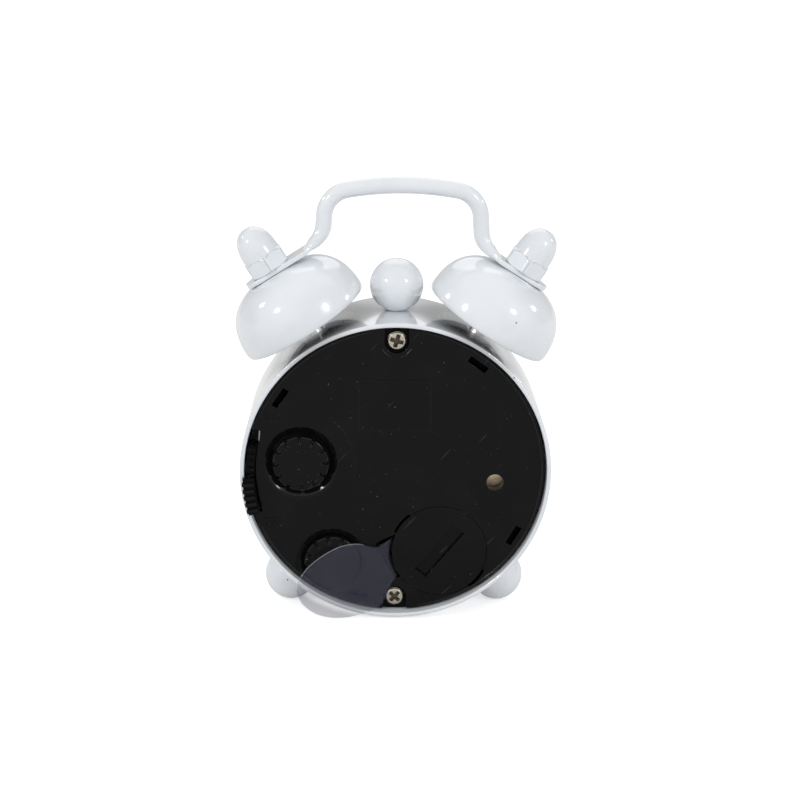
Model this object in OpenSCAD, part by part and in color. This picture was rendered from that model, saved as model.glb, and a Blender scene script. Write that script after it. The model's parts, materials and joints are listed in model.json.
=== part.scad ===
// Small twin-bell alarm clock with a quartz movement.
// The dial faces -Y and the back faces +Y. The bells, top ball and feet stand on the plane Y = 0.
// Z = 0 is the surface that the clock stands on.

/* [Case] */
// Outer radius of the drum
case_r = 21; // [20.6:0.1:23]
// Sheet thickness of the drum
case_wall = 0.6; // [0.5:0.05:0.7]
// How far the rear rim lies behind the bells' plane
case_back = 8; // [7.9:0.1:9]
// How far the bezel lies in front of the bells' plane
case_front = 9; // [9:0.1:11]
// Radius that rounds the bezel's front edge
bezel_round = 1.6; // [1:0.1:2.2]
// How far the bezel covers the lens at the front
bezel_cover = 3.2; // [2.4:0.1:4]

/* [Front] */
// Thickness of the clear lens
lens_t = 1; // [0.8:0.1:1.2]
// Thickness of the dial sheet
dial_t = 0.4; // [0.2:0.05:0.5]
// Room between the dial and the lens for the hands
hand_room = 2.8; // [2.7:0.1:3.4]
// Thickness of one hand
hand_t = 0.2; // [0.15:0.05:0.25]
// Distance from one hand to the next
hand_step = 0.55; // [0.5:0.05:0.6]
// Wall of the ring that clamps the lens
ring_wall = 0.95; // [0.8:0.05:1.1]
// Reach of the second hand
second_reach = 14.5; // [12:0.5:16]
// Reach of the minute hand
minute_reach = 13.5; // [11:0.5:15]
// Reach of the hour hand
hour_reach = 9.5; // [7:0.5:11]
// Reach of the alarm hand
alarm_reach = 8; // [6:0.5:10]

/* [Back cover] */
// How far the cover's face lies inside the rear rim
cover_inset = 1; // [0.8:0.1:1.2]
// Thickness of the cover
cover_t = 1.4; // [1.3:0.05:1.6]
// How far the two case screws lie inside the cover's edge
screw_inset = 1.9; // [1.75:0.05:2.25]
// Radius of a case screw's head
screw_head_r = 1.27; // [1.1:0.01:1.4]
// How far the snap slots lie inside the cover's edge
snap_inset = 1.6; // [1.55:0.05:1.85]
// Length of a snap slot
snap_len = 2.9; // [2.4:0.1:3.2]
// Width of a snap slot
snap_w = 0.9; // [0.8:0.05:1]
// Radius of the sound hole
sound_r = 1.15; // [0.8:0.05:1.5]

/* [Knobs] */
// Radius of the two setting knobs
knob_r = 3.83; // [3.4:0.01:3.95]
// Height of a setting knob
knob_h = 1.2; // [1:0.05:1.3]
// Radius of the dish round a knob at the cover's face
dish_r = 4.35; // [4.2:0.05:4.5]
// How much wider the dish of the time knob is
dish_extra = 0.65; // [0:0.05:0.7]
// Rounding of the dish's lip
dish_lip = 0.7; // [0.4:0.05:0.8]
// Depth of the dish
dish_depth = 0.85; // [0.7:0.05:0.9]
// Sideways place of the time knob, as a share of the case's radius
time_side = 0.61; // [0.59:0.005:0.63]
// Height of the time knob over the case's axis, as a share of the case's radius
time_up = 0.062; // [0.024:0.002:0.096]
// Sideways place of the alarm knob, as a share of the case's radius
alarm_side = 0.41; // [0.39:0.002:0.42]
// Height of the alarm knob over the case's axis, as a share of the case's radius
alarm_up = -0.624; // [-0.628:0.002:-0.6]

/* [Battery] */
// Radius of the button cell
cell_r = 5.8; // [5.6:0.05:5.85]
// Thickness of the button cell
cell_t = 5.4; // [4.8:0.1:5.6]
// Direction of the battery from the case's axis
cell_angle = 242; // [241:0.5:243]
// Wall left between the battery cover's groove and the cover's edge
cell_wall = 0.33; // [0.3:0.01:0.6]
// Radius of the battery cover
lid_r = 6.5; // [6.4:0.02:6.54]
// Thickness of the battery cover
lid_t = 1.1; // [1:0.05:1.15]
// Turn that frees the battery cover
lid_turn = 45; // [35:1:50]
// Length of the coin slot
coin_len = 8.3; // [6:0.1:9]
// Width of the coin slot
coin_w = 2; // [1.5:0.1:2.4]
// Thickness of the pull tab's film
film_t = 0.12; // [0.08:0.02:0.16]
// Width of the pull tab's neck
film_w = 5.4; // [4:0.1:5.6]

/* [Alarm switch] */
// Turn of the switch about the case's axis
switch_turn = 5.7; // [4:0.1:6]
// Lower end of the switch, as an angle
switch_low = -16; // [-17:0.5:-14]
// Upper end of the switch, as an angle
switch_high = 11.5; // [10:0.5:12]

/* [Bells and handle] */
// Lean of each bell from upright
bell_lean = 32.6; // [31:0.1:35]
// Radius of a bell's rim
bell_r = 9.2; // [8.5:0.05:9.4]
// How far a bell's rim stands off the drum
bell_gap = 1.72; // [1.2:0.02:2.4]
// Height of a bell
bell_h = 8; // [7.6:0.1:8.6]
// How square a bell's dome is, 2 being an ellipse
bell_power = 2.62; // [2.2:0.02:3]
// Sheet thickness of a bell
bell_wall = 0.6; // [0.4:0.05:0.8]
// Radius of a bell post's thread
post_r = 1.45; // [1.2:0.05:1.6]
// Radius of the sleeve under a bell
sleeve_r = 1.95; // [1.8:0.05:2.2]
// Width across the flats of a cap nut
nut_flats = 5.4; // [5:0.1:5.8]
// Height of a cap nut's hexagon
nut_hex_h = 2.2; // [2:0.1:3]
// Radius of a cap nut's dome
nut_dome_r = 2.62; // [2.3:0.02:2.64]
// Full height of a cap nut
nut_h = 6.3; // [6:0.1:7]
// Angle that the cap nuts are tightened to
nut_turn = 38; // [0:1:59]
// Radius of the handle's wire
wire_r = 1.1; // [0.9:0.05:1.2]
// Top of the handle over the drum
handle_rise = 17.95; // [17:0.05:19]
// Half length of the handle's arched top
handle_half = 7.35; // [6.8:0.05:7.8]
// Radius of the arch along the handle's top
handle_arch = 42; // [30:1:80]
// Sideways set of the bent handle
handle_set = -0.7; // [-0.8:0.01:0.8]
// Bend radius of the handle's upper corners
handle_bend = 3.75; // [3:0.05:4.5]
// Outward slope of the handle's legs
leg_slope = 3.9; // [2:0.1:8]
// Thickness of the flattened strap
strap_t = 0.7; // [0.5:0.05:0.9]
// Width of the flattened strap
strap_w = 5; // [4.4:0.1:5.4]

/* [Ball and feet] */
// Radius of the ball on top
ball_r = 3.63; // [3.2:0.01:3.8]
// Radius of a foot
foot_r = 3.65; // [3.4:0.05:3.8]
// Angle of a foot from straight down
foot_angle = 39.5; // [38.5:0.5:41]
// How deep the drum sits in the ball
saddle = 0.25; // [0.15:0.05:0.35]
// How deep the drum sits in a foot
foot_sink = 1.65; // [1.4:0.05:1.8]
// How much is flattened off a foot's lowest point
foot_flat = 0.12; // [0.08:0.01:0.2]

/* [Movement] */
// Thickness of the movement plate
plate_t = 1; // [0.8:0.05:1.2]
// Thickness of a gear
gear_t = 0.5; // [0.4:0.05:0.55]
// Distance from one gear layer to the next
gear_step = 0.9; // [0.8:0.05:0.92]
// Distance of the third wheel from the centre
third_d = 6.2; // [6:0.05:6.3]
// Distance of the intermediate wheel from the centre
inter_d = 5.6; // [5.4:0.05:5.8]
// Distance of the rotor from the intermediate wheel
rotor_d = 4.32; // [4.2:0.02:4.4]
// Radius of the rotor's magnet
magnet_r = 1.2; // [1:0.05:1.3]
// Radius of the sounder disc
buzzer_r = 4.5; // [4:0.1:4.7]

/* [Hidden] */
$fn = 72;
// Clearances
slip = 0.05;       // running fit, on the radius
press = 0.01;      // fixed fit, on the radius
loose = 0.15;      // dropped-in pieces, on the radius
air = 0.3;         // pieces that pass each other
shim = 0.03;       // flat faces that seat inside the curved drum

// Depths along Y
lip_t = 0.6;
inner_r = case_r - case_wall;
face_y = case_back - cover_inset;
cover_in_y = face_y - cover_t;
cover_r = inner_r - loose;
lens_front_y = lip_t - case_front;
lens_back_y = lens_front_y + lens_t;
dial_y = lens_back_y + hand_room;
plate_front_y = dial_y + dial_t;
plate_y = plate_front_y + plate_t;
ring_r = inner_r - 0.1;
ring_in_r = ring_r - ring_wall;
dial_r = ring_in_r - loose;
plate_r = ring_in_r - air;
ring_back_y = plate_y + 0.2;

// Height of the case's axis over the surface that the clock stands on
foot_off = case_r + foot_r - foot_sink;
axis_z = foot_off * cos(foot_angle) + foot_r - foot_flat;
ball_off = case_r + ball_r - saddle;

// Places in the back, as [sideways, up] from the case's axis
time_at = case_r * [time_side, time_up];
alarm_at = case_r * [alarm_side, alarm_up];
sound_at = case_r * [-0.6424, -0.0657];
buzzer_at = case_r * [-0.629, -0.057];
screw_ring = cover_r - screw_inset;
screw_at = [[0, screw_ring], [0, -screw_ring]];
snap_ring = cover_r - snap_inset;
snap_angles = [34, 125.4, 209.3, 285];
mark_at = case_r * [0.01, 0.448];
mark_size = case_r * [0.467, 0.343];
mark_line = 0.25;
mark_relief = 0.12;
arrow_gap = 2.05;
arrow_w = 0.35;

// Knobs
knob_room = 0.1;
lip_sweep = 70;
lip_steps = 5;
knob_top_y = face_y - dish_depth + knob_room + knob_h;
knob_y = knob_top_y - knob_h;
shaft_r = 0.8;
pivot_r = 0.5;

// Screws
head_h = 0.65;
head_y = face_y - 0.05 - head_h;
screw_r = 0.7;
screw_len = 6;
boss_r = 1.3;
notch_r = screw_head_r + 0.38;

// Battery, its cup and its cover
lid_y = face_y - lid_t;
seat_r = lid_r + 0.08;
lug_r = seat_r + 0.24;
groove_r = lug_r + 0.08;
cell_at = polar(cover_r - groove_r - cell_wall, cell_angle);
lug_half = 13;
lug_angles = [83, 263];
lug_t = 0.5;
coin_angle = 128.4;
coin_depth = 0.55;
contact_t = 0.15;
contact_w = 3;
contact_reach = 4.6;
film_gap = 0.04;
contact_y = lid_y - 0.05;
cell_y = contact_y - contact_t - film_t - 2 * film_gap;
cup_r = cell_r + loose;
cup_wall = 0.65;
cup_floor = 0.6;
minus_t = 0.2;
cup_floor_y = cell_y - cell_t - minus_t;

// Film that keeps the new cell apart from its contact
film_heading = -25.8;
film_side = 1.9;
film_rise = 10.3;
film_lift = 0.15;
film_lobe_r = 5.4;
film_lobe_half = 0.85;
film_under = 9.6;
film_ramp_run = 0.45;
film_reach = lid_r + 0.1 + film_ramp_run;
film_bend = cell_at + polar(film_reach, film_heading) + polar(film_side, film_heading + 90);
film_lobe_at = cell_at + [lid_r + 6.65, -3.7];
film_y = face_y + film_lift;
film_drop = film_y - cell_y - film_t - film_gap;
film_dive = atan(film_drop / film_ramp_run);

// Alarm switch
switch_in_r = cover_r - 1.25;
switch_out_r = cover_r - 0.1;
grip_out_r = case_r - 0.45;
grip_high = -1;
switch_top_y = face_y + 0.6;
grip_y = case_back + 0.15;
grip_top_y = grip_y + 0.6;
flange_t = 0.6;
rib_count = 10;
rib_span = 1.3;
rib_lift = 0.25;
rib_over = 0.12;

// Bells, posts, nuts and handle
bell_off = case_r + bell_gap;
strap_z = bell_off + bell_h;
strap_end = 4;
hole_r = post_r + 0.1;
jam_t = 1;
jam_flats = 5;
jam_z = sqrt(pow(inner_r, 2) - pow(jam_flats / sqrt(3), 2)) - jam_t - shim;
post_foot = jam_z - 0.1;
nut_z = strap_z + strap_t;
post_end = nut_z + 4.4;
top_z = case_r + handle_rise - wire_r;
lower_bend = 3.35;
flat_run = 1.5;
wire_lift = 0.3;
bell_land = 0.13;
wire_sides = 16;
arch_steps = 4;
corner_steps = 8;
bend_steps = 5;
flat_steps = 4;
end_steps = 5;

// Studs inside the case
stud_r = 0.8;
stud_head_r = 1.5;
stud_head_t = 0.6;

// Gears
second_teeth = 48;
inter_pinion = 8;
inter_teeth = 40;
rotor_teeth = 8;
second_pinion = 8;
third_teeth = 64;
third_pinion = 8;
center_teeth = 60;
set_teeth = 18;
minute_teeth = 36;
cannon_teeth = 12;
minute_pinion = 10;
hour_teeth = 40;
alarm_pinion_teeth = 16;
idler_teeth = 39;
alarm_teeth = 36;
tooth_tip = 0.8;
tooth_root = 1.1;
// Half width of a tooth at its root, pitch circle and tip, as shares of the pitch
tooth_half = [0.28, 0.19, 0.09];

function polar(r, a) = [r * cos(a), r * sin(a)];
function heading(from, to) = atan2(to.y - from.y, to.x - from.x);
// Module of two gears that mesh at a distance
function mesh_size(d, n1, n2) = 2 * d / (n1 + n2);
// Phase that sets a space of the second gear against a tooth of the first
function mesh_phase(n1, phase, way, n2) = way + 180 + 180 / n2 - (phase - way) * n1 / n2;
function layer_y(k) = cover_in_y - 0.5 - k * gear_step;

center = [0, 0];
time_size = 2 * norm(time_at) / (set_teeth + 2 * minute_teeth + cannon_teeth);
minute_at = time_at / norm(time_at) * time_size * (minute_teeth + cannon_teeth) / 2;
hour_size = mesh_size(norm(minute_at), hour_teeth, minute_pinion);
alarm_size = 2 * norm(alarm_at) / (alarm_pinion_teeth + 2 * idler_teeth + alarm_teeth);
idler_at = alarm_at / norm(alarm_at) * alarm_size * (idler_teeth + alarm_teeth) / 2;
third_at = polar(third_d, -45);
third_size = mesh_size(third_d, second_pinion, third_teeth);
center_size = mesh_size(third_d, third_pinion, center_teeth);
inter_at = polar(inter_d, 120);
second_size = mesh_size(inter_d, second_teeth, inter_pinion);
rotor_at = inter_at + polar(rotor_d, 150);
rotor_size = mesh_size(rotor_d, inter_teeth, rotor_teeth);

minute_phase = mesh_phase(set_teeth, 0, heading(time_at, minute_at), minute_teeth);
cannon_phase = mesh_phase(minute_teeth, minute_phase, heading(minute_at, center), cannon_teeth);
hour_phase = mesh_phase(minute_pinion, 0, heading(minute_at, center), hour_teeth);
idler_phase = mesh_phase(alarm_pinion_teeth, 0, heading(alarm_at, idler_at), idler_teeth);
alarm_phase = mesh_phase(idler_teeth, idler_phase, heading(idler_at, center), alarm_teeth);
inter_phase = mesh_phase(second_teeth, 0, heading(center, inter_at), inter_pinion);
rotor_phase = mesh_phase(inter_teeth, 0, heading(inter_at, rotor_at), rotor_teeth);
third_phase = mesh_phase(second_pinion, 0, heading(center, third_at), third_teeth);
center_phase = mesh_phase(third_pinion, 0, heading(third_at, center), center_teeth);

// Tubes that turn round each other at the centre
second_arbor = 0.35;
cannon_in = second_arbor + slip;
cannon_out = 0.75;
hour_in = cannon_out + slip;
hour_out = 1.15;
alarm_in = hour_out + slip;
alarm_out = 1.6;
hub_wall = 0.75;
wheel_pin = 0.3;
minute_pin = 0.5;
idler_pin = 0.6;

// Layers of the hands, by their rear faces
alarm_hand_y = dial_y - 0.4;
hour_hand_y = alarm_hand_y - hand_step;
minute_hand_y = hour_hand_y - hand_step;
second_hand_y = minute_hand_y - hand_step;

// Board, coil and stator
board_t = 0.6;
board_y = plate_y + 0.5 + board_t;
board_low = plate_r * [0.131, 0.336];
board_high = plate_r * [0.604, 0.735];
board_pegs = [board_low + [1.5, 1.6], board_high - [1.5, 1.6]];
chip_r = 2.4;
chip_h = 1;
crystal_r = 1;
crystal_len = 6;
coil_r = 1.9;
stator_t = 0.6;
stator_y = layer_y(5) + 0.3;
stator_leg = 1.6;
stator_left = rotor_at.x - 3;
stator_right = 1.5;
stator_low = rotor_at.y - 1.7;
stator_mid = stator_low + 3.5;
stator_high = plate_r * 0.745;
coil_at = [(stator_left + stator_right) / 2, stator_high - stator_leg / 2];
coil_half = (stator_right - stator_left) / 2 - stator_leg - air / 2;
magnet_t = 1.2;

// A flat shape drawn sideways and up, carried forward from its rear face
module slab(rear_y, depth) {
    translate([0, rear_y, axis_z])
        rotate([90, 0, 0])
            linear_extrude(depth)
                children();
}

// A profile drawn as [radius, Y], turned about an axis along Y
module turned(at = center) {
    translate([at.x, 0, axis_z + at.y])
        rotate([-90, 0, 0])
            rotate_extrude()
                children();
}

// A round bar along Y
module rod(at, front_y, rear_y, r) {
    translate([at.x, front_y, axis_z + at.y])
        rotate([-90, 0, 0])
            cylinder(h = rear_y - front_y, r = r);
}

// Stands children on the drum with their Z pointing out, leant from upright towards +X
module leant(angle) {
    translate([0, 0, axis_z])
        rotate([0, angle, 0])
            children();
}

// Makes children and their mirror image on the other side
module both_sides() {
    children();
    mirror([1, 0, 0])
        children();
}

// The space that the drum takes up
module drum(r) {
    rod(center, -case_front - 1, case_back + 1, r);
}

// Part of a flat ring between two angles
module arc_band(r_in, r_out, low, high) {
    far = r_out * 2;
    intersection() {
        difference() {
            circle(r_out);
            circle(r_in);
        }
        polygon([[0, 0], polar(far, low), polar(far, (low + high) / 2), polar(far, high)]);
    }
}

// Outline of a gear at the centre
module gear(teeth, size, phase) {
    pitch = 360 / teeth;
    radii = [teeth / 2 - tooth_root, teeth / 2, teeth / 2 + tooth_tip] * size;
    sides = [-1, -1, -1, 1, 1, 1];
    levels = [0, 1, 2, 2, 1, 0];
    polygon([for (i = [0 : teeth - 1], k = [0 : 5])
        polar(radii[levels[k]], phase + (i + sides[k] * tooth_half[levels[k]]) * pitch)]);
}

// A gear in a layer, counted from the back
module gear_at(at, teeth, size, phase, layer, extra = 0) {
    slab(layer_y(layer) + extra, gear_t + 2 * extra)
        translate(at)
            gear(teeth, size, phase);
}

// Flat hand with its hub, pointing to an angle clockwise from the top
module hand(rear_y, reach, width, tube, angle, tail = 0) {
    tip = width * 0.35;
    slab(rear_y, hand_t)
        rotate(-angle)
            difference() {
                union() {
                    circle(tube + hub_wall);
                    polygon([[-width / 2, -tail], [width / 2, -tail], [width / 2, reach * 0.7],
                        [tip / 2, reach], [-tip / 2, reach], [-width / 2, reach * 0.7]]);
                }
                circle(tube + press);
            }
}

// Hexagonal prism by its width across the flats
module hexagon(flats, h) {
    cylinder(h = h, r = flats / sqrt(3), $fn = 6);
}

// Flat cross of a screw's recess
module cross_recess(reach, width) {
    square([reach, width], center = true);
    square([width, reach], center = true);
}

module case_shell() {
    round_at = bezel_round;
    open_r = case_r - bezel_cover;
    steps = 10;
    edge = [for (i = [0 : steps])
        [case_r - round_at, round_at - case_front] + polar(round_at, -90 + 90 * i / steps)];
    color("aliceblue")
        difference() {
            turned()
                polygon(concat([[open_r, -case_front]], edge, [[case_r, case_back], [inner_r, case_back],
                    [inner_r, lens_front_y], [open_r, lens_front_y]]));
            both_sides()
                leant(bell_lean)
                    translate([0, 0, inner_r - 1])
                        cylinder(h = case_wall + 2, r = post_r + slip);
            both_sides()
                leant(180 - foot_angle)
                    translate([0, 0, inner_r - 1])
                        cylinder(h = case_wall + 2, r = stud_r + slip);
            leant(0)
                translate([0, 0, inner_r - 1])
                    cylinder(h = case_wall + 2, r = stud_r + slip);
        }
}

module lens() {
    color("lightcyan", 0.4)
        rod(center, lens_front_y, lens_back_y, ring_r);
}

// Ring that clamps the lens, with the two bosses that take the case screws
module inner_ring() {
    color("white")
        difference() {
            union() {
                slab(ring_back_y, ring_back_y - lens_back_y)
                    difference() {
                        circle(ring_r);
                        circle(ring_in_r);
                    }
                slab(cover_in_y, cover_in_y - plate_front_y)
                    for (at = screw_at)
                        intersection() {
                            union() {
                                translate(at)
                                    circle(boss_r);
                                translate(at * 1.06)
                                    square([boss_r * 1.4, boss_r * 2], center = true);
                            }
                            circle(ring_r - 0.75);
                        }
            }
            for (at = screw_at)
                rod(at, cover_in_y - screw_len, cover_in_y + 1, screw_r + press);
        }
}

module dial() {
    color("ivory")
        slab(plate_front_y, dial_t)
            difference() {
                circle(dial_r);
                circle(alarm_out + air);
            }
}

// Front plate of the movement, with its studs and the four hooks that snap into the cover
module movement_plate() {
    hook_t = snap_w - 0.3;
    hook_w = snap_len - 0.4;
    hook_sink = 0.95;
    color("dimgray")
        difference() {
            union() {
                slab(plate_y, plate_t)
                    circle(plate_r);
                slab(face_y - hook_sink, face_y - hook_sink - plate_y)
                    for (a = snap_angles)
                        rotate(a)
                            translate([snap_ring, 0])
                                square([hook_t, hook_w], center = true);
                rod(minute_at, plate_y - 0.2, layer_y(5) - gear_t - slip, minute_pin + 0.5);
                rod(minute_at, plate_y - 0.2, layer_y(4) + 0.1, minute_pin);
                rod(idler_at, plate_y - 0.2, layer_y(6) - gear_t - slip, idler_pin + 0.5);
                rod(idler_at, plate_y - 0.2, layer_y(6) + 0.1, idler_pin);
                for (at = board_pegs)
                    rod(at, plate_y - 0.2, board_y - board_t, 0.8);
                for (x = [stator_left, stator_right - stator_leg])
                    rod([x + stator_leg / 2, stator_mid], plate_y - 0.2, stator_y - stator_t, 0.7);
            }
            slab(plate_y + 1, plate_t + 2)
                for (at = screw_at)
                    for (step = [0, 2])
                        translate(at + [0, sign(at.y) * step])
                            square((boss_r + air) * 2, center = true);
            rod(center, plate_front_y - 1, plate_y + 1, alarm_out + slip);
            for (at = [time_at, alarm_at])
                rod(at, plate_front_y - 1, plate_y + 1, pivot_r + slip);
            rod(rotor_at, plate_front_y - 1, plate_y + 1, wheel_pin + slip);
        }
}

// Dish that a setting knob sits in, with a rounded lip and its shaft's hole
module knob_dish(at, r) {
    floor_r = knob_r + knob_room;
    lip = min(dish_lip, (r - floor_r) / sin(lip_sweep));
    turned(at)
        polygon(concat(
            [[0, face_y + 1], [0, face_y - dish_depth], [floor_r, face_y - dish_depth]],
            [for (i = [lip_steps : -1 : 0])
                let (a = lip_sweep * i / lip_steps)
                    [r - lip * sin(a), face_y - lip * (1 - cos(a))]],
            [[r, face_y + 1]]));
    rod(at, cover_in_y - 1, face_y, shaft_r + slip);
}

// Seat of the battery cover, with the groove and entries of its bayonet
module lid_seat() {
    rod(cell_at, lid_y - 0.05, face_y + 1, seat_r);
    rod(cell_at, cup_floor_y, face_y, cup_r);
    slab(lid_y + lug_t + 0.05, lug_t + 0.1)
        translate(cell_at)
            for (a = lug_angles)
                arc_band(cup_r - 1, groove_r, a - lid_turn - lug_half - 1, a + lug_half + 1);
    slab(face_y + 1, cover_t + 0.8)
        translate(cell_at)
            for (a = lug_angles)
                arc_band(cup_r - 1, groove_r, a - lid_turn - lug_half - 1, a - lid_turn + lug_half + 1);
}

// Ramp through which the film leaves the battery's cup
module film_gate() {
    width = film_w + 2 * air;
    out = film_t + air;
    low = -film_drop - film_t - film_gap;
    gate_in = film_reach - cup_r * 0.55;
    translate([film_bend.x, film_y, axis_z + film_bend.y])
        rotate([90, 0, 0])
            rotate(film_heading)
                translate([0, -width / 2, 0])
                    rotate([-90, 0, 0])
                        linear_extrude(width)
                            polygon([[out, 1], [out, -film_lift], [out - film_ramp_run, low],
                                [-gate_in, low], [-gate_in, 1]]);
}

// Raised frame and turning arrow moulded on the cover
module cover_marks() {
    arrow_r = dish_r + dish_extra + arrow_gap;
    slab(face_y + mark_relief, mark_relief + 0.2) {
        translate(mark_at)
            difference() {
                square(mark_size, center = true);
                square(mark_size - 2 * [mark_line, mark_line], center = true);
            }
        translate(time_at) {
            arc_band(arrow_r, arrow_r + arrow_w, 120, 196);
            translate(polar(arrow_r + arrow_w / 2, 112))
                rotate(112 + 90)
                    polygon([[-1.3, 0], [0.6, 0.75], [0.6, -0.75]]);
        }
    }
}

module back_cover() {
    color([0.11, 0.11, 0.12])
        difference() {
            union() {
                turned()
                    polygon([[0, cover_in_y], [cover_r, cover_in_y], [cover_r, face_y - 0.3],
                        [cover_r - 0.15, face_y], [0, face_y]]);
                cover_marks();
                rod(cell_at, cup_floor_y - cup_floor, cover_in_y + 0.2, cup_r + cup_wall);
                slab(cover_in_y + 0.2, 0.8)
                    translate(buzzer_at)
                        difference() {
                            circle(buzzer_r + 0.1);
                            circle(buzzer_r - 0.7);
                        }
                rod(third_at, layer_y(2) + 0.1, cover_in_y + 0.2, 1);
                rod(third_at, layer_y(3) - gear_t - 0.1, cover_in_y + 0.2, wheel_pin);
                rod(inter_at, layer_y(0) + 0.1, cover_in_y + 0.2, 1);
                rod(inter_at, layer_y(1) - gear_t - 0.1, cover_in_y + 0.2, wheel_pin);
            }
            for (at = screw_at) {
                rod(at, cover_in_y - 1, face_y, screw_r + 0.1);
                slab(face_y + 1, face_y + 1 - head_y)
                    translate(at) {
                        circle(notch_r);
                        translate([-notch_r, at.y > 0 ? 0 : -4])
                            square([2 * notch_r, 4]);
                    }
            }
            slab(face_y + 1, cover_t + 2)
                for (a = snap_angles)
                    rotate(a)
                        translate([snap_ring, 0])
                            square([snap_w, snap_len], center = true);
            slab(face_y + 1, cover_t + 2)
                arc_band(switch_in_r - 0.1, cover_r + 1, switch_low - 1.4, switch_high + switch_turn + 0.6);
            knob_dish(time_at, dish_r + dish_extra);
            knob_dish(alarm_at, dish_r);
            rod(sound_at, cover_in_y - 1, face_y + 1, sound_r);
            rod(center, cover_in_y - 1, cover_in_y + 0.6, second_arbor + slip);
            rod(rotor_at, cover_in_y - 1, cover_in_y + 0.6, wheel_pin + slip);
            lid_seat();
            film_gate();
            contact_strip(slip);
        }
}

module back_screws() {
    color("silver")
        for (at = screw_at)
            difference() {
                union() {
                    rod(at, cover_in_y - screw_len + 0.5, head_y + 0.1, screw_r);
                    turned(at)
                        polygon([[0, head_y], [screw_head_r, head_y], [screw_head_r, head_y + head_h * 0.6],
                            [screw_head_r * 0.8, head_y + head_h], [0, head_y + head_h]]);
                }
                slab(head_y + head_h + 0.1, 0.5)
                    translate(at)
                        rotate(22)
                            cross_recess(1.5, 0.34);
            }
}

// Outline of a bell: a dome squarer than an ellipse, cut flat where the strap sits
function bell_outline(r, h) =
    let (steps = 18, power = 2 / bell_power)
    [for (i = [0 : steps]) let (a = 90 * i / steps)
        [r * pow(cos(a), power), min((h + bell_land) * pow(sin(a), power), h)]];

module bell() {
    outer = bell_outline(bell_r, bell_h);
    inner = bell_outline(bell_r - bell_wall, bell_h - bell_wall);
    count = len(inner);
    leant(bell_lean)
        translate([0, 0, bell_off])
            difference() {
                rotate_extrude()
                    polygon(concat(outer, [for (i = [1 : count]) inner[count - i]]));
                translate([0, 0, bell_h - 2])
                    cylinder(h = 4, r = hole_r);
            }
}

module left_bell() {
    color("aliceblue")
        mirror([1, 0, 0])
            bell();
}

module right_bell() {
    color("aliceblue")
        bell();
}

// Threaded posts with a sleeve that carries each bell off the drum
module bell_posts() {
    color("silver")
        both_sides()
            union() {
                difference() {
                    leant(bell_lean)
                        translate([0, 0, case_r - 1])
                            cylinder(h = strap_z - bell_wall - case_r + 1, r = sleeve_r);
                    drum(case_r);
                }
                leant(bell_lean)
                    translate([0, 0, post_foot])
                        cylinder(h = post_end - post_foot, r = post_r);
            }
}

// Thin nuts inside the drum
module post_nuts() {
    color("silver")
        both_sides()
            leant(bell_lean)
                translate([0, 0, jam_z])
                    difference() {
                        hexagon(jam_flats, jam_t);
                        translate([0, 0, -1])
                            cylinder(h = jam_t + 2, r = post_r + press);
                    }
}

// Domed nuts that clamp the handle's straps on the bells
module cap_nuts() {
    corner = nut_flats / sqrt(3);
    dome_h = nut_h - nut_hex_h;
    dome = [for (i = [0 : 12]) let (a = 90 * i / 12)
        [nut_dome_r * pow(cos(a), 0.85), nut_hex_h + dome_h * pow(sin(a), 0.85)]];
    color("aliceblue")
        both_sides()
            leant(bell_lean)
                translate([0, 0, nut_z])
                    difference() {
                        union() {
                            intersection() {
                                rotate(nut_turn)
                                    hexagon(nut_flats, nut_hex_h);
                                rotate_extrude()
                                    polygon([[0, 0], [corner - 0.3, 0], [corner - 0.1, 0.2],
                                        [corner - 0.1, nut_hex_h - 0.5], [nut_flats / 2 - 0.1, nut_hex_h],
                                        [0, nut_hex_h]]);
                            }
                            rotate_extrude()
                                polygon(concat([[0, 0], [nut_dome_r, 0]], dome));
                        }
                        translate([0, 0, -1])
                            cylinder(h = post_end - nut_z + 1.2, r = post_r + press);
                    }
}

// How far the wire is flattened, half of it through the lower bend and half along the run behind it
function flat_share(along, half) = (1 - cos(90 * (along + half))) / 2;

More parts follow.
